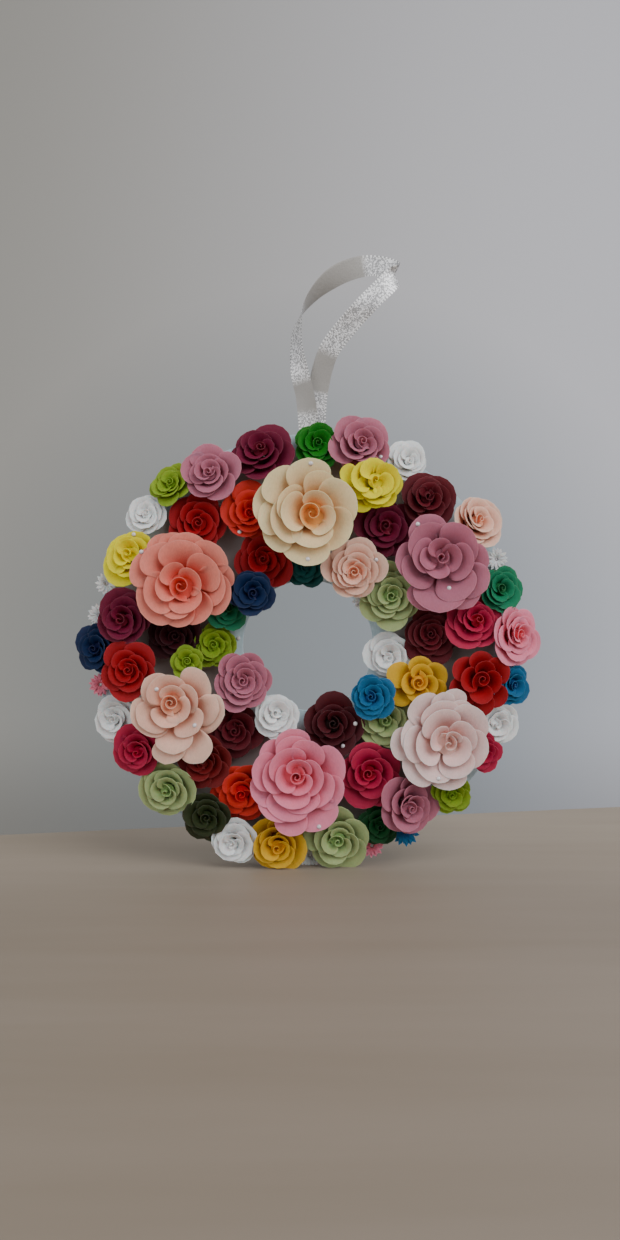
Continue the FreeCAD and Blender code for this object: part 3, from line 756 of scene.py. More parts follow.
@dataclass(frozen=True)
class Placed:
    """A flower's place on the board, in millimetres and degrees.

    Attributes:
        node: node of the frame that it belongs to.
        form: its kind.
        size: its size over that of its kind.
        row: where distance is measured from.
        clock: direction from the wreath's centre, clockwise from the top.
        distance: distance from the row's line.
        tilt: how far its face leans over the row's edge.
        spin: turn about its own axis.
        nudge: how far its foot stands off that place, along X and Z.
        raised: how far it stands forward of its node.
        swerve: clock turn of its lean from the way over the edge.
    """

    node: str
    form: FlowerForm
    size: float
    row: Row
    clock: float
    distance: float
    tilt: float = 0.0
    spin: float = 0.0
    nudge: Pair = (0.0, 0.0)
    raised: float = 0.0
    swerve: float = 0.0

    def node_centre(self) -> Pair:
        """X and Z of its node's foot on the board, in metres."""
        radius = self.row.radius(self.distance * MM)
        angle = math.radians(self.clock)
        return radius * math.sin(angle), radius * math.cos(angle)

    def centre(self) -> Pair:
        """X and Z of its own foot on the board, in metres."""
        x, z = self.node_centre()
        aside, up = self.nudge
        return x + aside * MM, z + up * MM

    def turn(self) -> Matrix:
        """Turns a flower that stands up +Z to face as this one does."""
        lean = math.radians(self.clock + self.row.overboard + self.swerve)
        hinge = Vector((math.cos(lean), 0, -math.sin(lean)))
        return (Matrix.Rotation(math.radians(-self.tilt), 4, hinge)
                @ FORWARD @ Matrix.Rotation(math.radians(self.spin), 4, "Z"))

    def lift(self, cloud: np.ndarray) -> float:
        """Height of its flat base in front of the board.

        Args:
            cloud: the points of its node of the frame.

        Returns:
            The height, in metres.
        """
        if self.form is DAISY:
            return DAISY_LIFT
        reach = self.form.radius * self.size * MM
        top = self.turn() @ Vector((0, 0, self.form.crown * TOP_SHARE * self.size * MM))
        x, z = self.node_centre()
        near = np.hypot(cloud[:, 0] - x - top.x, cloud[:, 2] - z - top.z) < NEAR_SHARE * reach
        highest = -cloud[near, 1].min() - BOARD_T
        sunk = SUNK_SHARE * reach * math.sin(math.radians(self.tilt))
        return highest + top.y - sunk + self.raised * MM

    def placement(self, lift: float) -> Matrix:
        """From the flower's own millimetres to its place."""
        x, z = self.centre()
        spot = Matrix.Translation((x, -BOARD_T - lift, z))
        return spot @ self.turn() @ Matrix.Scale(self.size * MM, 4)


OUTER, INNER, MIDDLE = Row.OUTER, Row.INNER, Row.MIDDLE
FLOWERS = [
    Placed("white_daisies", DAISY, 1, OUTER, 287.0, 2.6, nudge=(-1.8, 0.6)),
    Placed("white_daisies", DAISY, 1, OUTER, 278.4, 2.6, spin=9, nudge=(-2.2, 0)),
    Placed("white_daisies", DAISY, 1, OUTER, 179.2, 2.6, spin=5, nudge=(-0.4, -2)),
    Placed("white_daisies", DAISY, 1, OUTER, 65.5, 3.2, spin=3, nudge=(0.8, 0.4)),
    Placed("white_daisies", DAISY, 1, INNER, 48.5, 3, spin=7, nudge=(0.8, -0.6)),
    Placed("pink_daisies", DAISY, 1, OUTER, 259.0, 2.6, spin=4, nudge=(-2.4, 0)),
    Placed("pink_daisies", DAISY, 1, OUTER, 162.2, 2.6, spin=8, nudge=(0.4, -2)),
    Placed("blue_daisy", DAISY, 1.2, OUTER, 152.5, 2.6, spin=2, nudge=(1, -1.8)),
    Placed("small_white_roses", RUFFLED, 1.07, INNER, 96.0, 6, 6, 35, nudge=(2.2, -0.8)),
    Placed("orange_rose_bottom", MEDIUM, 1.03, MIDDLE, 203.6, 7.6, 16, 62, nudge=(-1.2, 0.4),
           raised=3.5, swerve=-24),
    Placed("small_lime_roses", SMALL, 1, INNER, 270.0, 13, 4, 70, nudge=(-0.7, 0)),
    Placed("red_rose_top", MEDIUM, 1, MIDDLE, 318.5, 9.5, 3, 60, nudge=(-2, 1.2)),
    Placed("pine_rose", SMALL, 0.92, OUTER, 158.4, 11.5, 6, 30, nudge=(0, -0.9)),
    Placed("teal_rose", SMALL, 0.92, INNER, 0.0, 4.5, 6, 20, nudge=(-0.8, 2.2)),
    Placed("small_white_roses", RUFFLED, 1.04, OUTER, 111.7, 4.6, 16, 40, nudge=(-1.4, -0.4)),
    Placed("plum_rose_right", MEDIUM, 1.03, MIDDLE, 33.7, -0.3, 3, 12),
    Placed("sage_rose_inner", SMALL, 1.24, INNER, 135.6, 20.9, 4, 16, nudge=(0, 1.2)),
    Placed("small_white_roses", RUFFLED, 1.07, OUTER, 249.7, 5.8, 12, 25, nudge=(0, -1.8)),
    Placed("sage_rose_left", BUD, 1, OUTER, 225.0, 8.8, 12, 3, raised=3),
    Placed("crimson_rose_bottom", MEDIUM, 1.03, MIDDLE, 154.2, 0.1, 2, 29),
    Placed("red_rose_inner", MEDIUM, 0.97, INNER, 333.4, 12.2, 5, 38, nudge=(-1.6, 2.2)),
    Placed("orange_rose_top", MEDIUM, 0.93, MIDDLE, 336.5, 2, 2, 24),
    Placed("brown_rose", MEDIUM, 1, INNER, 163.9, 7.1, 5, 11, nudge=(1, -1.6)),
    Placed("small_lime_roses", SMALL, 0.92, OUTER, 135.4, 4.8, 14, 12, nudge=(-0.8, 0.2), raised=2.5),
    Placed("emerald_rose_left", SMALL, 0.92, INNER, 292.8, 8.6, 5, 15, nudge=(-2, 2.4)),
    Placed("small_crimson_rose", SMALL, 0.84, OUTER, 121.0, 4.2, 12, 10, nudge=(-2.4, 0.8)),
    Placed("green_rose_top", SMALL, 1.07, OUTER, 1.8, 7.2, 6, 8, nudge=(1.2, 0.3)),
    Placed("maroon_rose_bottom", MEDIUM, 0.88, MIDDLE, 219.7, -15.5, 4, 55, nudge=(-2.2, -0.4),
           swerve=180),
    Placed("small_white_roses", RUFFLED, 1.05, INNER, 202.4, 5.2, 6, 5, nudge=(-1.3, 0)),
    Placed("small_white_roses", RUFFLED, 0.94, OUTER, 28.2, 3.2, 14, 50),
    Placed("small_white_roses", RUFFLED, 1.08, OUTER, 200.6, 5.4, 10, 15, nudge=(-0.6, -1.2), raised=3),
    Placed("plum_rose_top", MEDIUM, 1.03, OUTER, 346.8, 8.5, 24, 61, nudge=(-0.3, -3)),
    Placed("maroon_rose_top", BUD, 0.94, OUTER, 39.2, 13.3, 8, 32, nudge=(0, -1.4)),
    Placed("emerald_rose_right", SMALL, 1.08, OUTER, 73.2, 6.4, 16, 66, nudge=(-1.5, -1.6), raised=1.5),
    Placed("mauve_rose_inner", MEDIUM_FINE, 0.97, INNER, 239.3, 4.9, 14, 57, nudge=(-0.7, 1)),
    Placed("navy_rose_left", SMALL, 1.14, OUTER, 269.4, 3.4, 24, 14, nudge=(1.5, 0)),
    Placed("dark_plum_rose", MEDIUM, 0.9, MIDDLE, 276.1, -2.4, 3, 18, nudge=(1, -2)),
    Placed("maroon_rose_right", MEDIUM_FINE, 0.9, MIDDLE, 85.1, -10.6, 2, 48, nudge=(2.2, 0)),
    Placed("navy_rose_inner", SMALL, 1, INNER, 311.9, 4.4, 6, 52, nudge=(0, 1.8)),
    Placed("mauve_rose_bottom", MEDIUM, 1, OUTER, 147.2, 14.6, 20, 5, nudge=(-2.6, -0.8), swerve=-50),
    Placed("golden_rose_right", OPEN, 0.98, INNER, 109.1, 22.5, 2, 22, nudge=(1.8, -0.6), swerve=-180),
    Placed("peach_rose_right", BUD, 0.94, OUTER, 54.3, 4.2, 30, 13, nudge=(-1.9, -0.5)),
    Placed("crimson_rose_right", BUD, 0.97, MIDDLE, 82.9, 11.9, 16, 58, nudge=(0.6, -0.8), swerve=-80),
    Placed("tiny_lime_rose", TINY, 0.95, MIDDLE, 262.3, -9.3, 4, 33, swerve=180),
    Placed("sage_rose_bottom", MEDIUM, 1.03, OUTER, 171.3, 11.9, 8, 19, nudge=(-0.5, -2)),
    Placed("small_white_roses", RUFFLED, 0.93, OUTER, 308.9, 4.6, 14, 60, nudge=(-0.6, 0.6)),
    Placed("small_lime_roses", SMALL, 0.95, OUTER, 319.4, 4, 26, 44, nudge=(-0.2, 0.4)),
    Placed("yellow_rose_left", BUD, 1, OUTER, 296.3, 9.4, 20, 42, nudge=(1.2, -0.9)),
    Placed("mauve_rose_left", MEDIUM, 0.95, OUTER, 331.0, 10.1, 18, 23, nudge=(-0.3, -1.2)),
    Placed("mauve_rose_right", MEDIUM, 1, OUTER, 14.2, 4, 14, 54, nudge=(0.9, -2.1)),
    Placed("small_cerulean_rose", SMALL, 0.94, OUTER, 100.6, 3.4, 26, 50, nudge=(-2.6, 0)),
    Placed("plum_rose_left", BUD, 0.92, OUTER, 279.7, 15.7, 6, 27, nudge=(0, -1.8)),
    Placed("sage_rose_right", MEDIUM_FINE, 1, INNER, 60.6, 12.3, 4, 40, nudge=(0.8, 2.4), raised=2),
    Placed("peach_rose_inner", MEDIUM_FINE, 0.98, INNER, 31.2, 11.9, 5, 7, nudge=(-0.8, -0.8)),
    Placed("pink_rose_right", MEDIUM_FINE, 0.98, OUTER, 87.1, 4.9, 30, 45, nudge=(-1.8, -0.9)),
    Placed("red_rose_right", OPEN, 1.03, MIDDLE, 101.6, 15.9, 4, 26),
    Placed("golden_rose_bottom", BUD, 0.97, OUTER, 188.4, 9, 8, 47, nudge=(-1.4, 0)),
    Placed("olive_rose", SMALL, 1.08, OUTER, 210.9, 9, 8, 21, raised=-1),
    Placed("red_rose_left", MEDIUM, 0.9, OUTER, 262.0, 19.2, 4, 51, nudge=(-1.5, 0.3)),
    Placed("raspberry_rose", BUD, 0.84, OUTER, 240.0, 9.1, 12, 36, nudge=(1.5, -1.8)),
    Placed("yellow_rose_top", CUPPED, 1.06, OUTER, 21.3, 22.4, 4),
    Placed("dark_red_rose", MEDIUM, 0.86, MIDDLE, 220.8, 8.3, 2, 9, nudge=(0.6, 2.6), raised=-2),
    Placed("cerulean_rose_inner", SMALL, 1, INNER, 127.3, 5.8, 6, 31, nudge=(1.2, -1.6)),
    Placed("cream_rose", CREAM, 1, MIDDLE, 359.1, -3.7),
    Placed("large_mauve_rose", MAUVE_WIDE, 0.94, MIDDLE, 59.0, 7, 3),
    Placed("blush_rose", BLUSH, 0.96, MIDDLE, 125.5, 8.6, 3),
    Placed("large_pink_rose", PINK, 0.98, MIDDLE, 184.4, -3.5),
    Placed("large_peach_rose", PEACH, 0.9, MIDDLE, 241.6, 0.6, 2),
    Placed("salmon_rose", SALMON, 1.04, MIDDLE, 298.5, -1.6, 2),
]


# ---- building
def as_mesh(name: str, bm: BMesh) -> bpy.types.Mesh:
    """The mesh of a finished bmesh, which is freed."""
    mesh = bpy.data.meshes.new(name)
    bm.to_mesh(mesh)
    bm.free()
    return mesh


def add_object(name: str, data: bpy.types.ID) -> bpy.types.Object:
    """Adds an object to the scene, at the origin."""
    added = bpy.data.objects.new(name, data)
    bpy.context.scene.collection.objects.link(added)
    return added


def new_piece(name: str, bm: BMesh, node: str) -> bpy.types.Object:
    """Turns a finished bmesh into a piece that stands for a node of the frame.

    Args:
        name: the piece's name.
        bm: its shape, which is freed.
        node: the node that it replaces.

    Returns:
        The object, riding on the wreath.
    """
    bmesh.ops.recalc_face_normals(bm, faces=bm.faces)
    mesh = as_mesh(name, bm)
    mesh.polygons.foreach_set("use_smooth", [True] * len(mesh.polygons))
    mesh.set_sharp_from_angle(angle=CREASE)
    piece = add_object(name, mesh)
    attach(piece, "root")
    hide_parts(node)
    LOG.info("%s: %d faces", name, len(mesh.polygons))
    return piece


def cut_off(bm: BMesh, verts: list[BMVert], point: Vector, way: Vector,
            near: float = 0.0) -> list[BMVert]:
    """Cuts off what lies beyond a plane and closes the cut.

    Args:
        bm: the bmesh that holds the solid.
        verts: all the solid's vertices.
        point: a point of the plane.
        way: direction in which lies what goes.
        near: how near to the plane a vertex counts as lying on it.

    Returns:
        The vertices of what is left.
    """
    edges = list({edge for vert in verts for edge in vert.link_edges})
    faces = list({face for vert in verts for face in vert.link_faces})
    cut = bmesh.ops.bisect_plane(bm, geom=verts + edges + faces, dist=near, plane_co=point,
                                 plane_no=way, clear_outer=True)["geom_cut"]
    bmesh.ops.holes_fill(bm, edges=[item for item in cut if isinstance(item, BMEdge)])
    left = {vert for vert in verts if vert.is_valid}
    return list(left.union(item for item in cut if isinstance(item, BMVert)))


def lay_sheet(bm: BMesh, part: Petal | RolledStrip, squares: tuple[int, int]) -> None:
    """Adds a flat sheet of squares and bends it as a petal or a rolled strip.

    Args:
        bm: the flower so far.
        part: what the sheet becomes.
        squares: squares across and along.
    """
    glow, cut = (bm.verts.layers.float[name] for name in (GLOW, CUT))
    made = bmesh.ops.create_grid(bm, x_segments=squares[0], y_segments=squares[1], size=1.0)
    for vert in made["verts"]:
        across, left = vert.co.x, (1 - vert.co.y) / 2
        # marks the cut edges that get the painted highlight
        vert[cut] = float(left < ON_EDGE or abs(across) > 1 - ON_EDGE)
        vert.co, vert[glow] = part.bend(across, 1 - left ** FINER_RIM)


class PaperFlower:
    """Builds one flower of the wreath.

    Attributes:
        twist: extra turn of each ring against the one round it, in radians.
        sway: how far a whole ring may be off that.
        stray: how far a petal may be off its place in the ring.
        wider: how much wider or narrower than the others a petal may be.
        strip_rows: squares of the rolled strip from edge to edge.
        round_sides: sides of a round piece of paper.
        foot_sides: sides of the card foot.
    """

    twist, sway, stray, wider = 0.35, 0.2, 0.14, 0.10
    strip_rows, round_sides, foot_sides = 7, 24, 16

    def __init__(self, placed: Placed, lift: float) -> None:
        """Takes the flower's place and its lift off the board."""
        self.placed = placed
        self.form = placed.form
        self.lift = lift
        self.chance = random.Random(f"{SEED} {placed.node} {placed.clock}")
        way = Matrix.Rotation(self.chance.uniform(0, 2 * math.pi), 3, "Z")
        self.aside = way @ Vector((self.form.radius * self.form.drift, 0, 0))
        if self.form.laid:
            self.aside = Vector((*self.form.heart, 0)) / placed.size

    def quirk(self) -> tuple[float, ...]:
        """Small differences of the next petal."""
        return tuple(self.chance.uniform(-1, 1) for _ in range(4))

    def rings(self, bm: BMesh) -> None:
        """Adds the rings of petals, from the outside in."""
        form = self.form
        for ring, count in enumerate(form.petals):
            inward = ring / len(form.petals)
            turned = ring * (math.pi / count + self.twist)
            turned += self.chance.uniform(-self.sway, self.sway)
            for i in range(count):
                quirk = self.quirk()
                middle = turned + 2 * math.pi * i / count + self.stray * quirk[3]
                half = math.pi / count * form.overlap * (1 + self.wider * quirk[2])
                section = form.section(inward, form.reach(inward))
                lay_sheet(bm, Petal(form, section, middle, half, quirk, self.aside * inward,
                                    Vector()), form.grid)

    def laid(self, bm: BMesh) -> None:
        """Adds the petals that are laid one by one."""
        form = self.form
        for clock, reach, half, percent in form.laid:
            level = percent / 100
            section = form.section(level, reach / self.placed.size)
            lay_sheet(bm, Petal(form, section, math.radians(90 - clock),
                                math.radians(half * form.overlap), self.quirk(),
                                self.aside * level, self.aside * (1 - level)), form.grid)

    def build(self, bm: BMesh) -> None:
        """Adds the whole flower in its place."""
        form = self.form
        own = bmesh.new()
        for name in (GLOW, CUT):
            own.verts.layers.float.new(name)
        self.rings(own)
        self.laid(own)
        if form.turns:
            strip = RolledStrip(form, self.chance.uniform(0, 2 * math.pi), self.aside)
            lay_sheet(own, strip, (int(strip.steps_a_turn * form.turns), self.strip_rows))
            spot = Matrix.Translation(self.aside + Vector((0, 0, form.floor)))
            bmesh.ops.create_circle(own, cap_ends=True, segments=self.round_sides, matrix=spot,
                                    radius=form.radius * DISC)
        bmesh.ops.create_circle(own, cap_ends=True, segments=self.round_sides,
                                radius=form.radius * form.base)
        bmesh.ops.solidify(own, geom=own.faces[:], thickness=PAPER_T / MM / self.placed.size)
        bmesh.ops.transform(own, matrix=self.placed.placement(self.lift), verts=own.verts)
        self.foot(own)
        spare = as_mesh("spare", own)
        bm.from_mesh(spare)
        bpy.data.meshes.remove(spare)

    def foot(self, own: BMesh) -> None:
        """Adds the rolled card foot that the flower stands on."""
        form, placed = self.form, self.placed
        radius = form.base * form.radius * placed.size * CARD_FOOT * MM
        height = self.lift + radius
        x, z = placed.centre()
        spot = Matrix.Translation((x, -BOARD_T - height / 2, z)) @ FORWARD
        made = bmesh.ops.create_cone(own, cap_ends=True, segments=self.foot_sides, radius1=radius,
                                     radius2=radius, depth=height, matrix=spot)
        base = placed.placement(self.lift)
        cut_off(own, made["verts"], base.translation, base.to_3x3() @ Vector((0, 0, 1)))


@dataclass
class Bouquet:
    """All the paper flowers, one piece for each node of the frame."""

    flowers: list[Placed]
    paints: PaintBox
    surfaces: dict[str, BVHTree] = field(default_factory=dict)

    def build(self) -> None:
        """Builds and dresses every flower."""
        for node in dict.fromkeys(flower.node for flower in self.flowers):
            mesh = frame["nodes"][node].data
            cloud = np.zeros(len(mesh.vertices) * 3)
            mesh.vertices.foreach_get("co", cloud)
            cloud = cloud.reshape(-1, 3)
            bm = bmesh.new()
            for name in (GLOW, CUT):
                bm.verts.layers.float.new(name)
            for placed in self.flowers:
                if placed.node == node:
                    PaperFlower(placed, placed.lift(cloud)).build(bm)
            self.surfaces[node] = BVHTree.FromBMesh(bm)
            self.paints.dress(new_piece(f"{node}_paper", bm, node), node)


@dataclass
class HalfPearls:
    """Domes of pearl plastic on daisies, petals and the board, in metres.

    Attributes:
        bouquet: the flowers that they sit on.
        paints: the finishes.
        radius: radius of a dome.
        height: its height.
        sides: sides of a whole ball round its axis and from pole to pole.
        seam: how near to a ball's middle plane a vertex counts as lying on it.
        petal_gems: pearls on petals, each as a node and its X and Z in millimetres.
        board_gems: pearls on the board, each as a row, clock direction and distance.
    """

    bouquet: Bouquet
    paints: PaintBox
    radius: float = 1.1 * MM
    height: float = 0.85 * MM
    sides: tuple[int, int] = (20, 12)
    seam: float = 1e-7
    petal_gems: tuple[tuple[str, float, float], ...] = (
        ("cream_rose", 1.4, 86.4), ("cream_rose", 0.0, 41.3), ("salmon_rose", -79.7, 45.1),
        ("large_mauve_rose", 52.3, 58.1), ("large_mauve_rose", 67.2, 27.8),
        ("blush_rose", 62.2, -62.9), ("large_pink_rose", 5.3, -86.4),
        ("large_peach_rose", -71.3, -20.2), ("large_peach_rose", -53.4, -37.2),
        ("orange_rose_top", -33.1, 55.2), ("peach_rose_inner", 32.6, 41.3),
        ("mauve_rose_right", 35.5, 92.2), ("red_rose_right", 68.6, -14.4),
        ("pink_rose_right", 89.8, -5.8), ("brown_rose", 23.0, -37.9), ("brown_rose", 17.0, -49.0),
        ("small_crimson_rose", 81.4, -60.2), ("yellow_rose_left", -85.0, 54.2))
    board_gems: tuple[tuple[Row, float, float], ...] = (
        (OUTER, 217.0, 2.2), (OUTER, 254.2, 2.2), (INNER, 275.6, 2.4))

    def on_flower(self, node: str, x: float, z: float) -> Matrix:
        """Seat of a pearl on the first petal met from the front, or on the board."""
        start, way = Vector((x, FRONT_Y, z)), Vector((0, 1, 0))
        hit, normal, _, _ = self.bouquet.surfaces[node].ray_cast(start, way)
        if hit is None:
            hit, normal = Vector((x, -BOARD_T, z)), Vector((0, -1, 0))
        if normal.y > 0:
            normal = -normal
        return Matrix.Translation(hit) @ normal.to_track_quat("Z", "Y").to_matrix().to_4x4()

    def seats(self) -> list[Matrix]:
        """Places of all the pearls, each with its own +Z off the surface."""
        found = [self.on_flower(node, x * MM, z * MM) for node, x, z in self.petal_gems]
        for flower in FLOWERS:
            if flower.form is DAISY:
                found.append(self.on_flower(flower.node, *flower.centre()))
        for row, clock, distance in self.board_gems:
            x, z = Placed("", DAISY, 1.0, row, clock, distance).centre()
            found.append(Matrix.Translation((x, -BOARD_T, z)) @ FORWARD)
        return found

    def build(self) -> None:
        """Builds the domes as one piece."""
        bm = bmesh.new()
        squash = Matrix.Scale(self.height / self.radius, 4, Vector((0, 0, 1)))
        for seat in self.seats():
            ball = bmesh.ops.create_uvsphere(bm, u_segments=self.sides[0], radius=self.radius,
                                             v_segments=self.sides[1])
            dome = cut_off(bm, ball["verts"], Vector(), Vector((0, 0, -1)), self.seam)
            bmesh.ops.transform(bm, matrix=seat @ squash, verts=dome)
        self.paints.dress(new_piece("half_pearl_domes", bm, "half_pearls"), "half_pearls")


# ---- ribbon
Station = tuple[Triple, Triple, float]


@dataclass
class HangingRibbon:
    """Silver ribbon loop.

    Each station holds a place of its middle line as (x, height, z) in millimetres, the way its
    width points there, and how much painted glint its foil gets there, as if it faced the light.
    """

    paints: PaintBox
    width: float = 10 * MM
    thickness: float = 0.3 * MM
    steps: int = 10
    across: int = 10
    sharpness: float = 4.0      # how suddenly the glitter starts and ends
    stations: tuple[Station, ...] = (
        ((0.6, 0.525, 84), (1, 0, 0), 1),
        ((0.6, 0.525, 94), (1, 0, 0), 1),
        ((0.6, 0.525, 104), (1, 0, 0), 1),
        ((0.4, 0.8, 109), (1, -0.1, 0.1), 1),
        ((-1.3, 3, 122.7), (0.9, -0.4, 0.13), 0),
        ((-4.1, 4.6, 134.7), (0.85, -0.5, 0.15), 0.75),
        ((-5.7, 5.2, 146.3), (0.6, -0.78, 0.05), 1),
        ((-5.2, 5, 157.2), (0.42, -0.9, 0), 1),
        ((-2, 4.6, 166.5), (-0.05, -1, 0.1), 0.45),
        ((4.9, 4, 175.6), (-0.4, -0.85, 0.3), 0),
        ((13.6, 3.2, 182.6), (-0.43, -0.5, 0.75), 0),
        ((22.9, 2.8, 186.7), (-0.3, -0.2, 0.93), 0.1),
        ((31.5, 3, 187.9), (0, 0, 1), 0.8),
        ((39, 4.6, 186), (0.1, 0, 1), 1),
        ((43, 8.2, 181.9), (0.05, 0, 1), 1),
        ((39.5, 11.4, 176.9), (-0.45, 0, 0.9), 1),
        ((31.7, 12.4, 169), (-0.72, 0, 0.7), 1),
        ((24.5, 11.4, 161.7), (-0.7, -0.25, 0.66), 1),
        ((17.1, 9.4, 153.6), (-0.76, -0.1, 0.65), 1),
        ((10.6, 7, 145.3), (-0.85, 0, 0.5), 0.6),
        ((7.4, 4.4, 137.3), (-0.95, 0, 0.25), 0),
        ((5.6, 2.4, 129.6), (-1, 0, 0.15), 0),
        ((4.4, 1.3, 122.1), (-1, 0, 0.05), 0.9),
        ((3.8, 0.175, 111), (-1, 0, 0), 1),
        ((3.7, 0.175, 107), (-1, 0, 0), 1),
        ((3.7, 0.175, 104), (-1, 0, 0), 1),
        ((3.7, 0.175, 94), (-1, 0, 0), 1),
        ((3.7, 0.175, 84), (-1, 0, 0), 1),
    )

    def smooth(self, values: list[Vector], place: float) -> Vector:
        """Point on the smooth curve through values, place places along it."""
        i = min(int(place), len(values) - 2)
        s = place - i
        p0, p1 = values[max(i - 1, 0)], values[i]
        p2, p3 = values[i + 1], values[min(i + 2, len(values) - 1)]
        return p1 + ((p2 - p0) * s + (p0 * 2 - p1 * 5 + p2 * 4 - p3) * s ** 2
                     + (p1 * 3 - p0 - p2 * 3 + p3) * s ** 3) * 0.5

    def build(self) -> None:
        """Builds the loop from one long sheet."""
        middles = [Vector((x, -BOARD_T / MM - height, z)) * MM
                   for (x, height, z), _, _ in self.stations]
        ways = [Vector(way) for _, way, _ in self.stations]
        lights = [light for _, _, light in self.stations]
        spans = len(middles) - 1
        rows = self.steps * spans
        path = [self.smooth(middles, spans * i / rows) for i in range(rows + 1)]
        gone = [0.0]
        for a, b in zip(path, path[1:]):
            gone.append(gone[-1] + (b - a).length)
        bm = bmesh.new()
        uv = bm.loops.layers.uv.new("along")
        shine = bm.verts.layers.float.new(SHINE)
        made = bmesh.ops.create_grid(bm, x_segments=self.across, y_segments=rows, size=1.0)
        flat = {}
        for vert in made["verts"]:
            side, row = vert.co.x, round((vert.co.y + 1) / 2 * rows)
            way = self.smooth(ways, spans * row / rows)
            run = path[min(row + 1, rows)] - path[max(row - 1, 0)]
            way = (way - run * way.dot(run) / run.length_squared).normalized()
            flat[vert] = (side * self.width / 2, gone[row])
            vert.co = path[row] + way * (side * self.width / 2)
            # painted glint: how far this row of the ribbon is painted as facing the light
            light = float(np.interp(spans * row / rows, range(spans + 1), lights))
            vert[shine] = min(max((light - 0.5) * self.sharpness + 0.5, 0.0), 1.0)
        for face in bm.faces:
            for loop in face.loops:
                loop[uv].uv = flat[loop.vert]
        bmesh.ops.solidify(bm, geom=bm.faces[:], thickness=self.thickness)
        piece = new_piece("silver_ribbon_loop", bm, "hanging_ribbon")
        self.paints.dress(piece, "hanging_ribbon")
        LOG.info("ribbon cut to %.4f m", gone[-1])


# ---- studio
@dataclass(frozen=True)
class TablePaint(Finish):
    """Pale wood, with painted light that makes it lighter towards its far edge, where the wreath's soft
    shadow falls.

    Attributes:
        wood: its own colour.
        grain: colour of its darker grain.
        near: how much of that is left at the near end.
        span: where along Y it begins to be lighter, and where it is fully light.
    """

    wood: Colour = (0.400, 0.330, 0.260)
    grain: Colour = (0.350, 0.284, 0.217)
    near: Colour = (0.71,) * 3
    span: Pair = (-0.10, 0.099)

    def paint(self, wiring: Wiring) -> None:
        """Wires the material up."""
        wood = wiring.ramp(wiring.noise(6, 6, (0.6, 5, 5)), (0.3, self.grain), (0.7, self.wood))
        # painted light: lifts the wreath's soft shadow on the table's far strip
        light = wiring.fade("Y", self.span, self.near, WHITE)
        wiring.surface({"Base Color": wiring.mix(1, wood, light, "MULTIPLY"), "Roughness": 0.6})


@dataclass(frozen=True)
class WallPaint(Finish):
    """Pale wall with painted shade: darker to the left, away from the light, with a soft shadow behind
    the wreath and low down.

    Attributes:
        left: its colour to the left of the wreath, painted as in shade.
        right: its colour to the right, painted as more brightly lit.
        width: where along X the one turns into the other.
        low: how much of its colour is left low down, in the painted shade there.
        rise: where along Z it gets lighter.
        shade: how much is left in the middle of the shade behind the wreath.
        middle: middle of that shade.
        reach: how far the shade reaches.
    """

    left: Colour = (0.42, 0.40, 0.36)
    right: Colour = (0.77, 0.765, 0.81)
    width: Pair = (-0.75, 0.75)
    low: Colour = (0.66,) * 3
    rise: Pair = (-0.42, -0.16)
    shade: Colour = (0.58, 0.64, 0.67)
    middle: Triple = (0.02, 1.375, -0.06)
    reach: float = 0.72

    def paint(self, wiring: Wiring) -> None:
        """Wires the material up."""
        inputs = {"Vector": wiring.place(), "Location": self.middle, "Scale": (self.reach,) * 3}
        away = wiring.node("ShaderNodeMapping", inputs, vector_type="TEXTURE")
        ball = wiring.node("ShaderNodeTexGradient", {"Vector": away}, "Fac",
                           gradient_type="SPHERICAL")
        # painted shade: darker to the left, low down and behind the wreath
        colour = wiring.fade("X", self.width, self.left, self.right)
        for layer in (wiring.fade("Z", self.rise, self.low, WHITE),
                      wiring.ramp(ball, (0, WHITE), (0.55, self.shade))):
            colour = wiring.mix(1, colour, layer, "MULTIPLY")
        wiring.surface({"Base Color": colour, "Roughness": 0.6})


@dataclass(frozen=True)
class Lamp:
    """A soft square lamp turned to the wreath, in metres and watts."""

    name: str
    place: Triple
    power: float
    size: float = 1.4

    def build(self) -> None:
        """Adds the lamp."""
        light = bpy.data.lights.new(self.name, "AREA")
        light.size = self.size
        light.energy = self.power
        lamp = add_object(self.name, light)
        lamp.location = self.place
        lamp.rotation_euler = (-lamp.location).to_track_quat("-Z", "Y").to_euler()


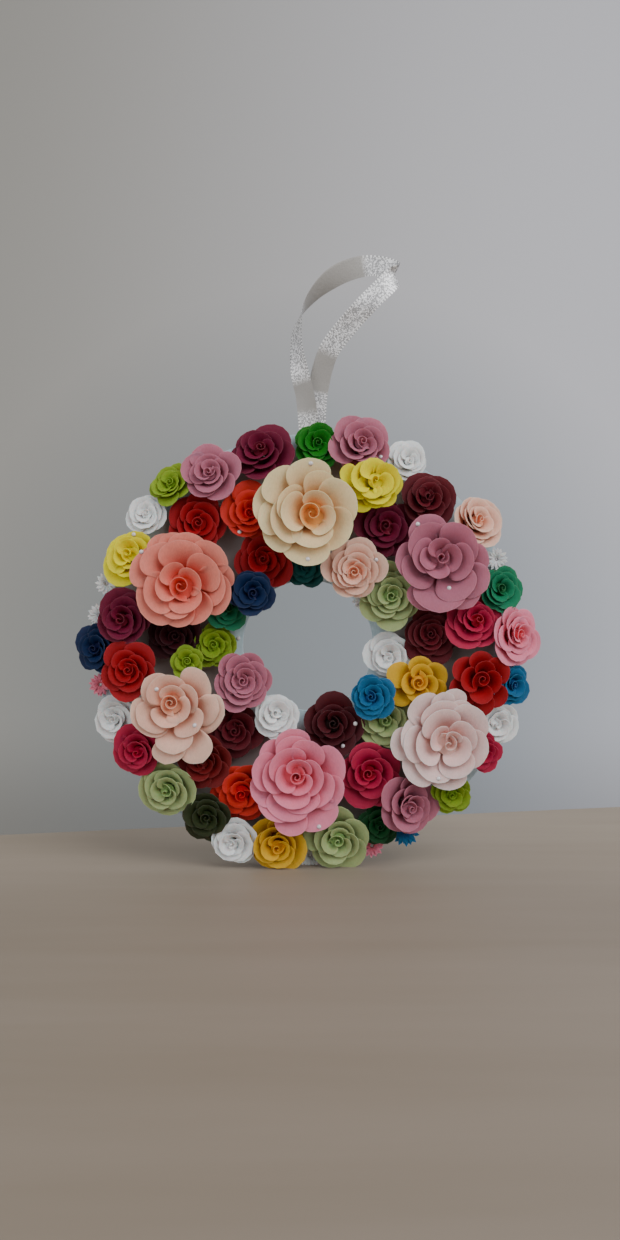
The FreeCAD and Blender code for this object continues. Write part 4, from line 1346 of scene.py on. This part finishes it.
@dataclass
class Studio:
    """Table top, far wall, soft lights and camera, in metres.

    Attributes:
        eye: where the camera stands along X and Z.
        shown_height: height of the view at the wreath.
        lens: focal length of the camera, in millimetres.
        sensor: height of its view on the sensor, in millimetres.
        sharp_plane: where along Y the view has that height.
        table_edge: where along Y the table's far edge lies behind the wreath.
        table_slant: how far that edge is turned, in degrees.
        sky: colour of the light from all round.
    """

    eye: Pair = (0.001, 0.0125)
    shown_height: float = 0.5952
    lens: float = 28.0
    sensor: float = 36.0
    sharp_plane: float = -0.020
    table_size: Triple = (3.2, 2.0, 0.04)
    table_edge: float = 0.099
    table_slant: float = 12.3
    wall_size: Triple = (6.0, 0.05, 5.0)
    wall_middle: Triple = (0, 1.4, 0.5)
    lamps: tuple[Lamp, ...] = (Lamp("window", (0.9, -1.1, 1.1), 25),
                               Lamp("bounce", (-1.1, -0.9, 0.4), 8))
    sky: Colour = (0.95, 0.97, 1.0)
    sky_strength: float = 0.50

    def slab(self, name: str, size: Triple, place: Matrix, finish: Finish) -> None:
        """Adds a slab of the set.

        Args:
            name: its name.
            size: its size along X, Y and Z.
            place: where its middle goes.
            finish: its finish.
        """
        bm = bmesh.new()
        bmesh.ops.create_cube(bm, size=1.0, matrix=place @ Matrix.Diagonal((*size, 1.0)))
        slab = add_object(name, as_mesh(name, bm))
        slab.data.materials.append(finish.make(name))

    def camera(self) -> None:
        """Adds the camera, level and square to the wreath."""
        data = bpy.data.cameras.new("camera")
        data.lens = self.lens
        data.sensor_width = self.sensor
        away = self.shown_height / 2 * self.lens / (self.sensor / 2)
        camera = add_object("camera", data)
        camera.location = (self.eye[0], self.sharp_plane - away, self.eye[1])
        camera.rotation_euler = (math.pi / 2, 0, 0)
        bpy.context.scene.camera = camera

    def build(self, floor_z: float) -> None:
        """Builds the set round a wreath that stands at floor_z."""
        edge = Matrix.Translation((0, self.table_edge, floor_z - self.table_size[2] / 2))
        slant = Matrix.Rotation(math.radians(self.table_slant), 4, "Z")
        top = edge @ slant @ Matrix.Translation((0, -self.table_size[1] / 2, 0))
        self.slab("table_top", self.table_size, top, TablePaint())
        self.slab("far_wall", self.wall_size, Matrix.Translation(self.wall_middle), WallPaint())
        for lamp in self.lamps:
            lamp.build()
        world = bpy.data.worlds.new("soft_room")
        world.use_nodes = True
        sky = world.node_tree.nodes["Background"]
        sky.inputs["Color"].default_value = (*self.sky, 1)
        sky.inputs["Strength"].default_value = self.sky_strength
        bpy.context.scene.world = world
        self.camera()


def main() -> None:
    """Builds the wreath and its studio."""
    logging.basicConfig(level=logging.INFO, format="%(name)s: %(message)s")
    paints = PaintBox(frame["record"])
    paints.dress(frame["nodes"]["base_board"], "base_board")
    bouquet = Bouquet(FLOWERS, paints)
    bouquet.build()
    HalfPearls(bouquet, paints).build()
    HangingRibbon(paints).build()
    Studio().build(CAD_BOX[0].z)


if __name__ == "__main__":
    main()
